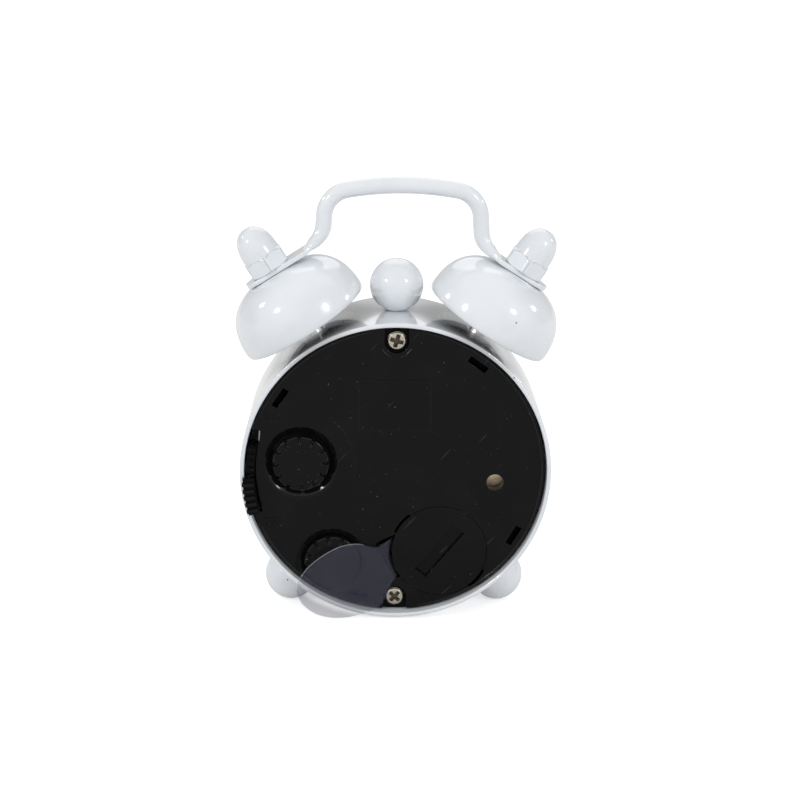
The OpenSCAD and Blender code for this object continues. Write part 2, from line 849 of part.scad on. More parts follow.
// Stations along one side of the handle, from the middle of its top to the strap's round end.
// Each station is [sideways, up, heading, half width, half thickness, squareness].
function handle_stations(set) =
    let (
        arch = asin(handle_half / handle_arch),
        arch_at = [set, top_z - handle_arch],
        corner_at = arch_at + polar(handle_arch - handle_bend, 90 - arch),
        leg_top = corner_at + polar(handle_bend, leg_slope),
        leg_way = polar(1, leg_slope - 90),
        out_way = polar(1, -bell_lean),
        up_way = [sin(bell_lean), cos(bell_lean)],
        strap_at = (strap_z + strap_t / 2 + wire_lift) * up_way,
        span = strap_at - leg_top,
        // Length of the leg down to where its line crosses the strap's line
        leg_len = (span.x * out_way.y - span.y * out_way.x)
            / (leg_way.x * out_way.y - leg_way.y * out_way.x),
        crossing = leg_top + leg_len * leg_way,
        turn = 90 - leg_slope - bell_lean,
        back_off = lower_bend * tan(turn / 2),
        leg_end = crossing - back_off * leg_way,
        bend_at = leg_end + lower_bend * polar(1, leg_slope),
        strap_in = norm(strap_at - crossing) - back_off,
        half_w = strap_w / 2,
        half_t = strap_t / 2
    )
    concat(
        [for (i = [0 : arch_steps]) let (a = 90 - arch * i / arch_steps)
            concat(arch_at + polar(handle_arch, a), [a - 90, wire_r, wire_r, 0])],
        [for (i = [1 : corner_steps]) let (a = 90 - arch - (90 - arch - leg_slope) * i / corner_steps)
            concat(corner_at + polar(handle_bend, a), [a - 90, wire_r, wire_r, 0])],
        [for (i = [0 : bend_steps])
            let (a = leg_slope - 180 + turn * i / bend_steps, f = flat_share(i / bend_steps, 0))
            concat(bend_at + polar(lower_bend, a),
                [a + 90, wire_r + (half_w - wire_r) * f, wire_r + (half_t - wire_r) * f, f])],
        [for (i = [1 : flat_steps]) let (f = flat_share(i / flat_steps, 1))
            concat(strap_at + out_way * (flat_run * i / flat_steps - strap_in)
                    - up_way * wire_lift * (1 - cos(180 * i / flat_steps)) / 2,
                [-bell_lean, wire_r + (half_w - wire_r) * f, wire_r + (half_t - wire_r) * f, f])],
        [for (i = [0 : end_steps]) let (a = 86 * i / end_steps)
            concat(strap_at + out_way * (strap_end - half_w + half_w * sin(a)) - up_way * wire_lift,
                [-bell_lean, half_w * cos(a), half_t, 1])]
    );

// The same stations on the other side, walked the other way
function mirrored(stations) = [for (i = [len(stations) - 1 : -1 : 1]) let (s = stations[i])
    [-s[0], s[1], -s[2], s[3], s[4], s[5]]];

// Power that keeps the sign, so that a round section turns into a flat one
function squared(v, power) = sign(v) * pow(abs(v), power);

// Points of the section at one station
function handle_ring(s) = [for (k = [0 : wire_sides - 1])
    let (
        a = 360 * (k + 0.5) / wire_sides,
        power = 1 - 0.75 * s[5],
        up = s[4] * squared(sin(a), power),
        out = s[3] * squared(cos(a), power)
    )
    [s[0] - up * sin(s[2]), out, s[1] + up * cos(s[2])]];

module handle() {
    stations = concat(mirrored(handle_stations(-handle_set)), handle_stations(handle_set));
    rings = len(stations);
    sides = [for (i = [0 : rings - 2], k = [0 : wire_sides - 1], half = [0, 1])
        let (n = (k + 1) % wire_sides, a = i * wire_sides, b = a + wire_sides)
        half == 0 ? [a + k, b + k, b + n] : [a + k, b + n, a + n]];
    first = [for (k = [0 : wire_sides - 1]) k];
    last = [for (k = [wire_sides - 1 : -1 : 0]) (rings - 1) * wire_sides + k];
    color("aliceblue")
        difference() {
            translate([0, 0, axis_z])
                polyhedron([for (s = stations) each handle_ring(s)], concat(sides, [first, last]));
            both_sides()
                leant(bell_lean)
                    translate([0, 0, strap_z - 1])
                        cylinder(h = strap_t + 2, r = hole_r);
        }
}

// Stud that holds a ball on the drum, its head inside
module ball_stud(angle, off) {
    head_z = sqrt(pow(inner_r, 2) - pow(stud_head_r, 2)) - shim;
    leant(angle)
        translate([0, 0, head_z - stud_head_t]) {
            cylinder(h = stud_head_t, r = stud_head_r);
            cylinder(h = off - head_z + stud_head_t, r = stud_r);
        }
}

// Ball with a saddle for the drum and a blind bore for its stud
module saddled_ball(angle, off, r) {
    difference() {
        leant(angle)
            translate([0, 0, off])
                sphere(r);
        drum(case_r);
        leant(angle)
            translate([0, 0, case_r - 1])
                cylinder(h = off - case_r + 1.2, r = stud_r + press);
    }
}

module foot() {
    difference() {
        saddled_ball(180 - foot_angle, foot_off, foot_r);
        translate([0, -foot_r * 2, -foot_r])
            cube([foot_off + foot_r, foot_r * 4, foot_r]);
    }
}

module top_ball() {
    color("aliceblue")
        saddled_ball(0, ball_off, ball_r);
}

module ball_screw() {
    color("silver")
        ball_stud(0, ball_off);
}

module left_foot() {
    color("aliceblue")
        mirror([1, 0, 0])
            foot();
}

module right_foot() {
    color("aliceblue")
        foot();
}

module foot_screws() {
    color("silver")
        both_sides()
            ball_stud(180 - foot_angle, foot_off);
}

module battery() {
    gasket = 0.3;
    cap_r = cell_r - 1.2;
    low_y = cell_y - cell_t;
    color("lightgray")
        turned(cell_at)
            polygon([[0, low_y], [cap_r, low_y], [cap_r, low_y + gasket],
                [cell_r - gasket, low_y + gasket], [cell_r, low_y + 2 * gasket],
                [cell_r, cell_y - gasket], [cell_r - gasket, cell_y], [0, cell_y]]);
}

// Spring strip beside the cell that reaches over it, or with room the pocket that it lies in
module contact_strip(room) {
    half = contact_w / 2 + room;
    rear_y = contact_y + room;
    side = -cup_r - contact_t - 0.1 - room;
    slab(rear_y, rear_y - cup_floor_y - 1 + room)
        translate(cell_at)
            rotate(film_heading)
                translate([side, -half])
                    square([contact_t + 2 * room, 2 * half]);
    slab(rear_y, contact_t + 2 * room)
        translate(cell_at)
            rotate(film_heading)
                translate([side, -half])
                    square([contact_reach + room, 2 * half]);
}

module contact_plus() {
    color("goldenrod")
        contact_strip(0);
}

module contact_minus() {
    color("goldenrod")
        rod(cell_at, cup_floor_y, cup_floor_y + minus_t, cell_r - 1.6);
}

module battery_cover() {
    notch = 0.4;
    color([0.12, 0.12, 0.13])
        difference() {
            union() {
                rod(cell_at, lid_y, face_y - 0.02, lid_r);
                slab(lid_y + lug_t - 0.03, lug_t - 0.06)
                    translate(cell_at)
                        for (a = lug_angles)
                            arc_band(lid_r - 1, lug_r, a - lug_half, a + lug_half);
            }
            slab(face_y + 1, 1 + coin_depth)
                translate(cell_at)
                    rotate(coin_angle)
                        square([coin_len, coin_w], center = true);
            slab(face_y + 1, lid_t)
                translate(cell_at)
                    for (a = lug_angles)
                        arc_band(lid_r - notch, lid_r + 1, a - lid_turn - lug_half, a - lid_turn + lug_half);
        }
}

// Clear film: a lobe over the back, a neck that dives under the battery cover, and a flat end on the cell
module pull_tab() {
    lobe = film_lobe_at - film_bend;
    color("lavender", 0.4)
        translate([film_bend.x, film_y, axis_z + film_bend.y])
            rotate([90, 0, 0])
                rotate(film_heading) {
                    rotate([0, film_rise, 0])
                        linear_extrude(film_t)
                            union() {
                                translate([-0.05, -film_w / 2])
                                    square([4, film_w]);
                                rotate(-film_heading)
                                    translate(lobe)
                                        union() {
                                            for (s = [-1, 1])
                                                translate([s * film_lobe_half, 0])
                                                    circle(film_lobe_r);
                                            square([2 * film_lobe_half, 2 * film_lobe_r], center = true);
                                        }
                            }
                    rotate([0, film_dive, 0])
                        translate([-film_ramp_run / cos(film_dive) - 0.05, -film_w / 2, 0])
                            cube([film_ramp_run / cos(film_dive) + 0.05, film_w, film_t]);
                    translate([-film_ramp_run - film_under, -film_w / 2, film_ramp_run * tan(film_dive)])
                        cube([film_under + 0.05, film_w, film_t]);
                }
}

module circuit_board() {
    color("darkgreen")
        slab(board_y, board_t)
            translate(board_low)
                square(board_high - board_low);
}

module chip() {
    chip_at = (board_low + board_high) / 2 - [0.8, 0.6];
    color("black")
        intersection() {
            translate([chip_at.x, board_y + chip_h - chip_r, axis_z + chip_at.y])
                sphere(chip_r);
            slab(board_y + chip_h + 1, chip_h + 1)
                translate(chip_at)
                    square(chip_r * 3, center = true);
        }
}

module crystal() {
    crystal_at = board_high - [crystal_len + 0.9, crystal_r + 0.2];
    color("silver")
        translate([crystal_at.x, board_y + crystal_r, axis_z + crystal_at.y])
            rotate([0, 90, 0])
                cylinder(h = crystal_len, r = crystal_r);
}

module coil() {
    color("peru")
        translate([coil_at.x - coil_half, stator_y - stator_t / 2, axis_z + coil_at.y])
            rotate([0, 90, 0])
                difference() {
                    cylinder(h = 2 * coil_half, r = coil_r);
                    translate([0, 0, coil_half])
                        cube([stator_leg + 0.1, stator_t + 0.1, 4 * coil_half], center = true);
                }
}

// Soft-iron plate round the rotor, with the core of the coil
module stator() {
    color("silver")
        slab(stator_y, stator_t)
            difference() {
                translate([stator_left, stator_low])
                    square([stator_right - stator_left, stator_high - stator_low]);
                translate([stator_left + stator_leg, stator_mid])
                    square([stator_right - stator_left - 2 * stator_leg,
                        stator_high - stator_leg - stator_mid]);
                translate(rotor_at)
                    circle(magnet_r + 0.4);
            }
}

module buzzer() {
    color("gold")
        rod(buzzer_at, cover_in_y - 0.9, cover_in_y - 0.6, buzzer_r);
}

// Setting knob with a fluted edge and a blind bore for its shaft
module knob(at) {
    flutes = 12;
    color([0.1, 0.1, 0.11])
        difference() {
            turned(at)
                polygon([[0, knob_y], [knob_r - 0.15, knob_y], [knob_r, knob_y + 0.3],
                    [knob_r, knob_top_y - 0.25], [knob_r - 0.25, knob_top_y], [0, knob_top_y]]);
            rod(at, knob_y - 1, knob_top_y - 0.4, shaft_r + press);
            slab(knob_top_y + 0.1, 0.45)
                translate(at)
                    for (i = [0 : flutes - 1])
                        rotate(i * 360 / flutes)
                            translate([knob_r - 0.1, 0])
                                square([0.9, 0.5], center = true);
        }
}

// Shaft of a knob with its pinion and a thinner front pivot
module knob_shaft(at, teeth, size, layer) {
    color("ivory") {
        rod(at, layer_y(layer) - gear_t - 0.3, knob_top_y - 0.45, shaft_r);
        rod(at, plate_front_y + 0.2, layer_y(layer), pivot_r);
        gear_at(at, teeth, size, 0, layer);
    }
}

module time_knob() {
    knob(time_at);
}

module set_pinion() {
    knob_shaft(time_at, set_teeth, time_size, 4);
}

module alarm_knob() {
    knob(alarm_at);
}

module alarm_pinion() {
    knob_shaft(alarm_at, alarm_pinion_teeth, alarm_size, 6);
}

module minute_wheel() {
    color("ivory")
        difference() {
            union() {
                gear_at(minute_at, minute_teeth, time_size, minute_phase, 4);
                slab(layer_y(4) - gear_t + 0.1, gear_step + 0.1)
                    translate(minute_at)
                        gear(minute_pinion, hour_size, 0);
            }
            rod(minute_at, plate_y, cover_in_y, minute_pin + slip);
        }
}

module cannon_pinion() {
    color("goldenrod")
        difference() {
            union() {
                rod(center, minute_hand_y - hand_t, layer_y(3) + 0.1, cannon_out);
                gear_at(center, cannon_teeth, time_size, cannon_phase, 4, 0.1);
            }
            rod(center, minute_hand_y - 1, cover_in_y, cannon_in);
        }
}

module minute_hand() {
    color("black")
        hand(minute_hand_y, minute_reach, 0.9, cannon_out, 60);
}

module hour_wheel() {
    color("ivory")
        difference() {
            union() {
                rod(center, hour_hand_y - hand_t, layer_y(5), hour_out);
                gear_at(center, hour_teeth, hour_size, hour_phase, 5);
            }
            rod(center, hour_hand_y - 1, cover_in_y, hour_in);
        }
}

module hour_hand() {
    color("black")
        hand(hour_hand_y, hour_reach, 1.2, hour_out, 305);
}

module second_wheel() {
    color("ivory") {
        rod(center, second_hand_y - hand_t, cover_in_y + 0.5, second_arbor);
        gear_at(center, second_teeth, second_size, 0, 1);
        slab(layer_y(1) - gear_t + 0.1, gear_step + 0.1)
            gear(second_pinion, third_size, 0);
    }
}

module second_hand() {
    color("red")
        hand(second_hand_y, second_reach, 0.4, second_arbor, 210, 4);
}

module rotor() {
    magnet_y = stator_y - stator_t / 2 - magnet_t / 2;
    color("gray") {
        rod(rotor_at, plate_front_y + 0.2, cover_in_y + 0.5, wheel_pin);
        rod(rotor_at, magnet_y, magnet_y + magnet_t, magnet_r);
        gear_at(rotor_at, rotor_teeth, rotor_size, rotor_phase, 0);
    }
}

module intermediate_wheel() {
    color("ivory")
        difference() {
            union() {
                gear_at(inter_at, inter_teeth, rotor_size, 0, 0);
                slab(layer_y(0) - gear_t + 0.1, gear_step + 0.1)
                    translate(inter_at)
                        gear(inter_pinion, second_size, inter_phase);
            }
            rod(inter_at, plate_y, cover_in_y, wheel_pin + slip);
        }
}

module third_wheel() {
    color("ivory")
        difference() {
            union() {
                gear_at(third_at, third_teeth, third_size, third_phase, 2);
                slab(layer_y(2) - gear_t + 0.1, gear_step + 0.1)
                    translate(third_at)
                        gear(third_pinion, center_size, 0);
            }
            rod(third_at, plate_y, cover_in_y, wheel_pin + slip);
        }
}

module center_wheel() {
    color("goldenrod")
        difference() {
            gear_at(center, center_teeth, center_size, center_phase, 3);
            rod(center, plate_y, cover_in_y, cannon_out + slip);
        }
}

module alarm_idler() {
    color("ivory")
        difference() {
            gear_at(idler_at, idler_teeth, alarm_size, idler_phase, 6);
            rod(idler_at, plate_y, cover_in_y, idler_pin + slip);
        }
}

module alarm_wheel() {
    color("ivory")
        difference() {
            union() {
                rod(center, alarm_hand_y - hand_t, layer_y(6), alarm_out);
                gear_at(center, alarm_teeth, alarm_size, alarm_phase, 6);
            }
            rod(center, alarm_hand_y - 1, cover_in_y, alarm_in);
        }
}

module alarm_hand() {
    color("crimson")
        hand(alarm_hand_y, alarm_reach, 0.5, alarm_out, 180);
}

// Slider that turns a little about the case's axis, ribbed, with a grip that reaches over the rim
module alarm_switch() {
    color([0.1, 0.1, 0.11]) {
        slab(switch_top_y, switch_top_y - cover_in_y + 0.3)
            arc_band(switch_in_r, switch_out_r, switch_low, switch_high);
        slab(cover_in_y - 0.1, flange_t)
            arc_band(switch_in_r - 1, switch_out_r, switch_low, switch_high);
        slab(grip_top_y, grip_top_y - switch_top_y + 0.2)
            arc_band(switch_in_r, switch_out_r, switch_low, grip_high);
        slab(grip_top_y, grip_top_y - grip_y)
            arc_band(switch_in_r, grip_out_r, switch_low, grip_high);
        for (i = [0 : rib_count - 1]) {
            a = switch_low + 1 + (switch_high - switch_low - 3) * i / (rib_count - 1);
            on_grip = a < grip_high - rib_span;
            slab((on_grip ? grip_top_y : switch_top_y) + rib_lift, rib_lift + 0.2)
                arc_band(switch_in_r + 0.1, on_grip ? grip_out_r + rib_over : switch_out_r, a, a + rib_span);
        }
    }
}

case_shell();
lens();
inner_ring();
dial();
movement_plate();
back_cover();
back_screws();
left_bell();
right_bell();
bell_posts();
post_nuts();
cap_nuts();
handle();
top_ball();
ball_screw();
left_foot();
right_foot();
foot_screws();
battery();
contact_plus();
contact_minus();
battery_cover();
pull_tab();
circuit_board();
chip();
crystal();
coil();
stator();
buzzer();
time_knob();
set_pinion();
minute_wheel();
cannon_pinion();
minute_hand();
hour_wheel();
hour_hand();
second_wheel();
second_hand();
rotor();
intermediate_wheel();
third_wheel();
center_wheel();
alarm_knob();
alarm_pinion();
alarm_idler();
alarm_wheel();
alarm_hand();
alarm_switch();
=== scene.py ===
import json
import math

import bmesh
import bpy
import numpy as np
from mathutils import Matrix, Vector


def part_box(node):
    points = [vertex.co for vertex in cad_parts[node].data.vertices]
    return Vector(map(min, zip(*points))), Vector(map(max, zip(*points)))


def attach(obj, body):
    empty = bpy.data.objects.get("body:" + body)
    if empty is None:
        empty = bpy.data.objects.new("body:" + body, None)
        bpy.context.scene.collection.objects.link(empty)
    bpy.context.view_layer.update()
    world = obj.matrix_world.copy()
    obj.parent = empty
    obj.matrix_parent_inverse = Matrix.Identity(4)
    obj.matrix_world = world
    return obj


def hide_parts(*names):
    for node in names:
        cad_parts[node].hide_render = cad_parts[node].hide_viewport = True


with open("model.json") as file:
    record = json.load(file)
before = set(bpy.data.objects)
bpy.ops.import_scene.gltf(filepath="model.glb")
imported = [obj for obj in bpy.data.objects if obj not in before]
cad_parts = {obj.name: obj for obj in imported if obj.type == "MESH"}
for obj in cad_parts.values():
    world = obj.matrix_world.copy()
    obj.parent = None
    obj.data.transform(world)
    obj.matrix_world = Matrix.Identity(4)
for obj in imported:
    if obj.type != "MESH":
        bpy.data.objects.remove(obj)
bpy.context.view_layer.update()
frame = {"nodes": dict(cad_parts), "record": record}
nodes = frame["nodes"]
mm = 0.001
print("frame loaded with", len(nodes), "nodes")


# Places taken from the frame, in millimetres
def boxMm(node):
    # a node's lowest and highest corners
    low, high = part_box(node)
    return np.array(low) / mm, np.array(high) / mm


def middle(node):
    # half way between a node's corners
    low, high = boxMm(node)
    return (low + high) / 2


caseLow, caseHigh = boxMm("case_shell")
drumR = (caseHigh[0] - caseLow[0]) / 2
axisZ = (caseHigh[2] + caseLow[2]) / 2
rearY, frontY = caseHigh[1], caseLow[1]
lensFront = boxMm("lens")[0][1]
dialFront = boxMm("dial")[0][1]
knobTop = boxMm("time_knob")[1][1]
screwTop = boxMm("back_screws")[1][1]
coverInset = 1.0    # the back cover's face lies this far inside the rear rim
coverFace = rearY - coverInset
bellLean = 32.6    # of each bell's axis from upright, in degrees


# Shapes from arrays
def gridFaces(rows, cols, closeRows, closeCols):
    # four corners of every cell of a grid, wrapped where it closes
    a, b = np.meshgrid(np.arange(rows if closeRows else rows - 1),
                       np.arange(cols if closeCols else cols - 1), indexing="ij")
    c, d = (a + 1) % rows, (b + 1) % cols
    return np.stack([a * cols + b, a * cols + d, c * cols + d, c * cols + b], -1).reshape(-1, 4)


def grid(points, closeRows=False, closeCols=True, finish=0):
    # a surface's points, which ways it closes, and which of the piece's finishes each cell takes
    return {"points": np.asarray(points, float), "closeRows": closeRows, "closeCols": closeCols,
            "finish": finish}


def turn(profile, sides=96):
    # a profile of [r, h] turned about Z: (r cos t, r sin t, h)
    t = np.linspace(0, 2 * np.pi, sides, endpoint=False)
    r, h = np.asarray(profile, float).T
    return np.stack([r[:, None] * np.cos(t), r[:, None] * np.sin(t), h[:, None] + 0 * t], -1)


def rounded(corners, steps=5, closed=True):
    # corners as [r, h, reach]; each becomes a quadratic arc that starts and ends its reach away
    c = np.array(corners, float)
    p, reach = c[:, :2], c[:, 2:].copy()
    if not closed:
        reach[[0, -1]] = 0
    back, ahead = np.roll(p, 1, 0) - p, np.roll(p, -1, 0) - p
    a = (p + reach * back / np.linalg.norm(back, axis=1, keepdims=True))[:, None]
    b = (p + reach * ahead / np.linalg.norm(ahead, axis=1, keepdims=True))[:, None]
    s = np.linspace(0, 1, steps)[None, :, None]
    return ((1 - s) ** 2 * a + 2 * s * (1 - s) * p[:, None] + s ** 2 * b).reshape(-1, 2)


def smoothPath(points, count):
    # Catmull-Rom curve through points, evenly spread over its spans
    p = np.asarray(points, float)
    p = np.vstack([2 * p[0] - p[1], p, 2 * p[-1] - p[-2]])
    u = np.linspace(0, len(p) - 3 - 1e-9, count)    # ends just inside the last span
    i, f = u.astype(int), (u % 1)[:, None]
    a, b, c, d = p[i], p[i + 1], p[i + 2], p[i + 3]
    square, cube = 2 * a - 5 * b + 4 * c - d, 3 * b - a - 3 * c + d
    return 0.5 * (2 * b + (c - a) * f + square * f ** 2 + cube * f ** 3)


def ease(low, high, x):
    # 0 below low, 1 above high, smooth between
    s = np.clip((x - low) / (high - low), 0, 1)
    return s * s * (3 - 2 * s)


def alongY(points, x=0.0, z=0.0):
    # local height becomes Y, about an axis at x and at z over the drum's axis
    p = np.asarray(points)
    return np.stack([x + p[..., 0], p[..., 2], axisZ + z + p[..., 1]], -1)


def leant(points, angle):
    # local Z points out of the drum, leant from upright towards +X
    p, c, s = np.asarray(points), math.cos(math.radians(angle)), math.sin(math.radians(angle))
    return np.stack([p[..., 0] * c + p[..., 2] * s, p[..., 1], axisZ - p[..., 0] * s + p[..., 2] * c], -1)


def flipped(points):
    # mirror image on the other side of the clock
    return np.asarray(points) * [-1, 1, 1]


def onFace(centre, y, way):
    # maps flat points to the frame at depth y, with x times way: 1 as seen from the front, -1 from behind
    x, z = centre[0], axisZ + centre[1]
    return lambda p: np.column_stack([x + way * p[:, 0], np.full(len(p), y), z + p[:, 1]])


def finishMesh(mesh, name, body, skins, replaced=(), sharp=30):
    # shades a mesh smooth up to an angle and hands it to the frame as a piece
    for skin in skins:
        mesh.materials.append(skin)
    mesh.shade_smooth()
    mesh.set_sharp_from_angle(angle=math.radians(sharp))
    made = bpy.data.objects.new(name, mesh)
    bpy.context.scene.collection.objects.link(made)
    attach(made, body)
    if replaced:
        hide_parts(*replaced)
    return made


poleGap = 1e-7    # grid points closer than this, in metres, become one
cadGap = 2e-6    # and corners of a CAD node's triangles


def piece(name, grids, body, skins, replaced=(), sharp=38):
    # joins grids into one closed mesh with its poles merged and its faces turned outwards
    verts, faces, marks, start = [], [], [], 0
    for g in grids:
        rows, cols = g["points"].shape[:2]
        quads = gridFaces(rows, cols, g["closeRows"], g["closeCols"])
        verts.append(g["points"].reshape(-1, 3) * mm)
        faces.append(quads + start)
        mark = np.asarray(g["finish"])
        mark = np.broadcast_to(mark[:, None] if mark.ndim == 1 else mark, (rows, cols))
        marks.append(mark.reshape(-1)[quads[:, 0]])
        start += rows * cols
    mesh = bpy.data.meshes.new(name)
    mesh.from_pydata(np.vstack(verts).tolist(), [], np.vstack(faces).tolist())
    mesh.polygons.foreach_set("material_index", np.concatenate(marks).astype(np.int32))
    work = bmesh.new()
    work.from_mesh(mesh)
    bmesh.ops.remove_doubles(work, verts=work.verts, dist=poleGap)
    bmesh.ops.recalc_face_normals(work, faces=work.faces)
    work.to_mesh(mesh)
    work.free()
    return finishMesh(mesh, name, body, skins, replaced, sharp)


# Broken edges: level, floor and lean say how far a normal points back, flat and corner are degrees
broken = {"level": 0.97, "floor": 0.98, "lean": (0.1, 0.92), "recess": 0.15, "flat": 1.0, "corner": 32,
          "segments": 2, "weight": 90}


def leaning(points):
    # 1 where a grid's normal, the cross product of its steps both ways, leans from straight back
    along, across = np.gradient(points, axis=0), np.roll(points, -1, 1) - np.roll(points, 1, 1)
    normal = np.cross(along, across)
    tiny = 1e-12    # makes a pole, where the steps vanish, count as level
    share = (np.abs(normal[..., 1]) + tiny) / (np.linalg.norm(normal, axis=-1) + tiny)
    return (share < broken["level"]).astype(int)


def softened(name, node, body, skins, width):
    # copy of a CAD node with merged faces and a small bevel; bevels and leaning faces take the second finish,
    # glossier with a painted sheen, floors that lie well under the top take the third, a painted shade
    mesh = nodes[node].data.copy()
    mesh.materials.clear()
    work = bmesh.new()
    work.from_mesh(mesh)
    bmesh.ops.remove_doubles(work, verts=work.verts, dist=cadGap)
    flat = math.radians(broken["flat"])
    bmesh.ops.dissolve_limit(work, angle_limit=flat, verts=work.verts, edges=work.edges)
    work.normal_update()
    top = max(vert.co.y for vert in work.verts) - broken["recess"] * mm
    low, high = broken["lean"]
    for face in work.faces:
        floor = face.normal.y > broken["floor"] and face.calc_center_median().y < top
        face.material_index = 2 if floor else int(low < face.normal.y < high)
    work.to_mesh(mesh)
    work.free()
    made = finishMesh(mesh, name, body, skins, [node])
    bevel = made.modifiers.new("edge", "BEVEL")
    bevel.width = width * mm
    bevel.segments = broken["segments"]
    bevel.limit_method = "ANGLE"
    bevel.angle_limit = math.radians(broken["corner"])
    bevel.material = 1
    level = made.modifiers.new("level", "WEIGHTED_NORMAL")
    level.weight = broken["weight"]
    level.keep_sharp = True
    return made


def textMesh(words, size):
    # flat glyphs as a mesh, centred on the origin
    curve = bpy.data.curves.new("words", "FONT")
    curve.body = words
    curve.size = size
    curve.align_x = "CENTER"
    curve.align_y = "CENTER"
    holder = bpy.data.objects.new("words", curve)
    made = bpy.data.meshes.new_from_object(holder)
    bpy.data.objects.remove(holder)
    bpy.data.curves.remove(curve)
    return made


def placedText(words, size, place):
    # flat glyphs as (points, faces); place maps an array of (x, y) to millimetres in the frame
    made = textMesh(words, size)
    flat = np.zeros(len(made.vertices) * 3)
    made.vertices.foreach_get("co", flat)
    faces = [tuple(p.vertices) for p in made.polygons]
    bpy.data.meshes.remove(made)
    return place(flat.reshape(-1, 3)[:, :2]), faces


def inkPiece(name, shapes, body, skin, lift):
    # flat shapes joined and given a thickness away from what they lie on
    verts, faces, start = [], [], 0
    for points, polygons in shapes:
        verts.append(points * mm)
        faces += [tuple(i + start for i in p) for p in polygons]
        start += len(points)
    mesh = bpy.data.meshes.new(name)
    mesh.from_pydata(np.vstack(verts).tolist(), [], faces)
    made = finishMesh(mesh, name, body, [skin])
    thick = made.modifiers.new("relief", "SOLIDIFY")
    thick.thickness = lift * mm
    thick.offset = 1
    return made


# Finishes: a look holds colours, noises as (scale, low, high, detail) and bumps as (strength, depth)
def shaderNodes(name):
    # a new material with its tree and its shader
    finish = bpy.data.materials.new(name)
    finish.use_nodes = True
    tree = finish.node_tree
    return finish, tree, tree.nodes["Principled BSDF"]


def add(tree, kind, **values):
    # a new node; a value whose name starts with in_ goes to that input, any other to the node itself
    made = tree.nodes.new(kind)
    for key, value in values.items():
        if key.startswith("in_"):
            made.inputs[key[3:].replace("_", " ")].default_value = value
        else:
            setattr(made, key, value)
    return made


def objectPlace(tree):
    # a point's place in the piece, which is its place in the frame
    return add(tree, "ShaderNodeTexCoord").outputs["Object"]


def spots(tree, where, scale, low, high, detail=2.0):
    # noise cut to a mask between two levels
    noise = add(tree, "ShaderNodeTexNoise", in_Scale=scale, in_Detail=detail)
    ramp = add(tree, "ShaderNodeMapRange", interpolation_type="SMOOTHSTEP", in_From_Min=low, in_From_Max=high)
    tree.links.new(where, noise.inputs["Vector"])
    tree.links.new(noise.outputs["Fac"], ramp.inputs["Value"])
    return ramp.outputs["Result"]


def blendColour(tree, mask, first, second):
    # colour that goes from first to second with the mask; each is a colour or a socket
    mix = add(tree, "ShaderNodeMix", data_type="RGBA")
    tree.links.new(mask, mix.inputs["Factor"])
    for socket, value in ((mix.inputs[6], first), (mix.inputs[7], second)):
        if isinstance(value, tuple):
            socket.default_value = (*value, 1)
        else:
            tree.links.new(value, socket)
    return mix.outputs[2]


def rangeTo(tree, mask, low, high, socket):
    # a mask from 0 to 1 goes to a socket as low to high
    span = add(tree, "ShaderNodeMapRange", in_To_Min=low, in_To_Max=high)
    tree.links.new(mask, span.inputs["Value"])
    tree.links.new(span.outputs["Result"], socket)


def bumpFrom(tree, height, strength, depth, shader):
    # a mask raises the surface by up to its depth in millimetres
    bump = add(tree, "ShaderNodeBump", in_Strength=strength, in_Distance=depth * mm)
    tree.links.new(height, bump.inputs["Height"])
    tree.links.new(bump.outputs["Normal"], shader.inputs["Normal"])


def axisDistance(tree, where, lean):
    # distance from the nearer of two axes that lean both ways: length of (|x|, y, z over the drum) x axis
    over = add(tree, "ShaderNodeVectorMath", operation="SUBTRACT")
    over.inputs[1].default_value = (0, 0, axisZ * mm)
    parts, joined = add(tree, "ShaderNodeSeparateXYZ"), add(tree, "ShaderNodeCombineXYZ")
    side = add(tree, "ShaderNodeMath", operation="ABSOLUTE")
    cross = add(tree, "ShaderNodeVectorMath", operation="CROSS_PRODUCT")
    cross.inputs[1].default_value = (math.sin(math.radians(lean)), 0, math.cos(math.radians(lean)))
    length = add(tree, "ShaderNodeVectorMath", operation="LENGTH")
    for a, b in ((where, over.inputs[0]), (over.outputs[0], parts.inputs[0]),
                 (parts.outputs[0], side.inputs[0]), (side.outputs[0], joined.inputs[0]),
                 (parts.outputs[1], joined.inputs[1]), (parts.outputs[2], joined.inputs[2]),
                 (joined.outputs[0], cross.inputs[0]), (cross.outputs[0], length.inputs[0])):
        tree.links.new(a, b)
    return length.outputs["Value"]


def fade(tree, value, clear, full):
    # 0 at clear, 1 at full, both in millimetres
    span = add(tree, "ShaderNodeMapRange", interpolation_type="SMOOTHSTEP",
               in_From_Min=clear * mm, in_From_Max=full * mm)
    tree.links.new(value, span.inputs["Value"])
    return span.outputs["Result"]


def sprayShade(tree, where, body, s):
    # painted shade under the bells: the colour greys towards a bell's axis, then breaks up and leaves bare
    # steel where the bells kept the spray off
    away = axisDistance(tree, where, bellLean)
    body = blendColour(tree, fade(tree, away, s["even"], s["dull"]), body, s["grey"])
    ragged = add(tree, "ShaderNodeMath", operation="MULTIPLY_ADD")
    ragged.inputs[1].default_value = s["ragged"] * mm
    tree.links.new(spots(tree, where, *s["speckles"]), ragged.inputs[0])
    tree.links.new(away, ragged.inputs[2])
    bare = fade(tree, ragged.outputs[0], s["bare"] + s["soft"], s["bare"])
    return blendColour(tree, bare, body, s["steel"]), bare


enamelLook = {"white": (0.83, 0.86, 0.895), "thin": (0.78, 0.815, 0.855), "chip": (0.1, 0.09, 0.08),
              "pooling": (160, 0.35, 0.7), "chips": (1900, 0.885, 0.892, 0.0), "rough": (0.12, 0.2),
              "coat": {"Coat Weight": 1.0, "Coat IOR": 1.6, "Coat Roughness": 0.04},
              "peel": (700, 0.2, 0.8, 1.0), "bump": (0.25, 0.02)}


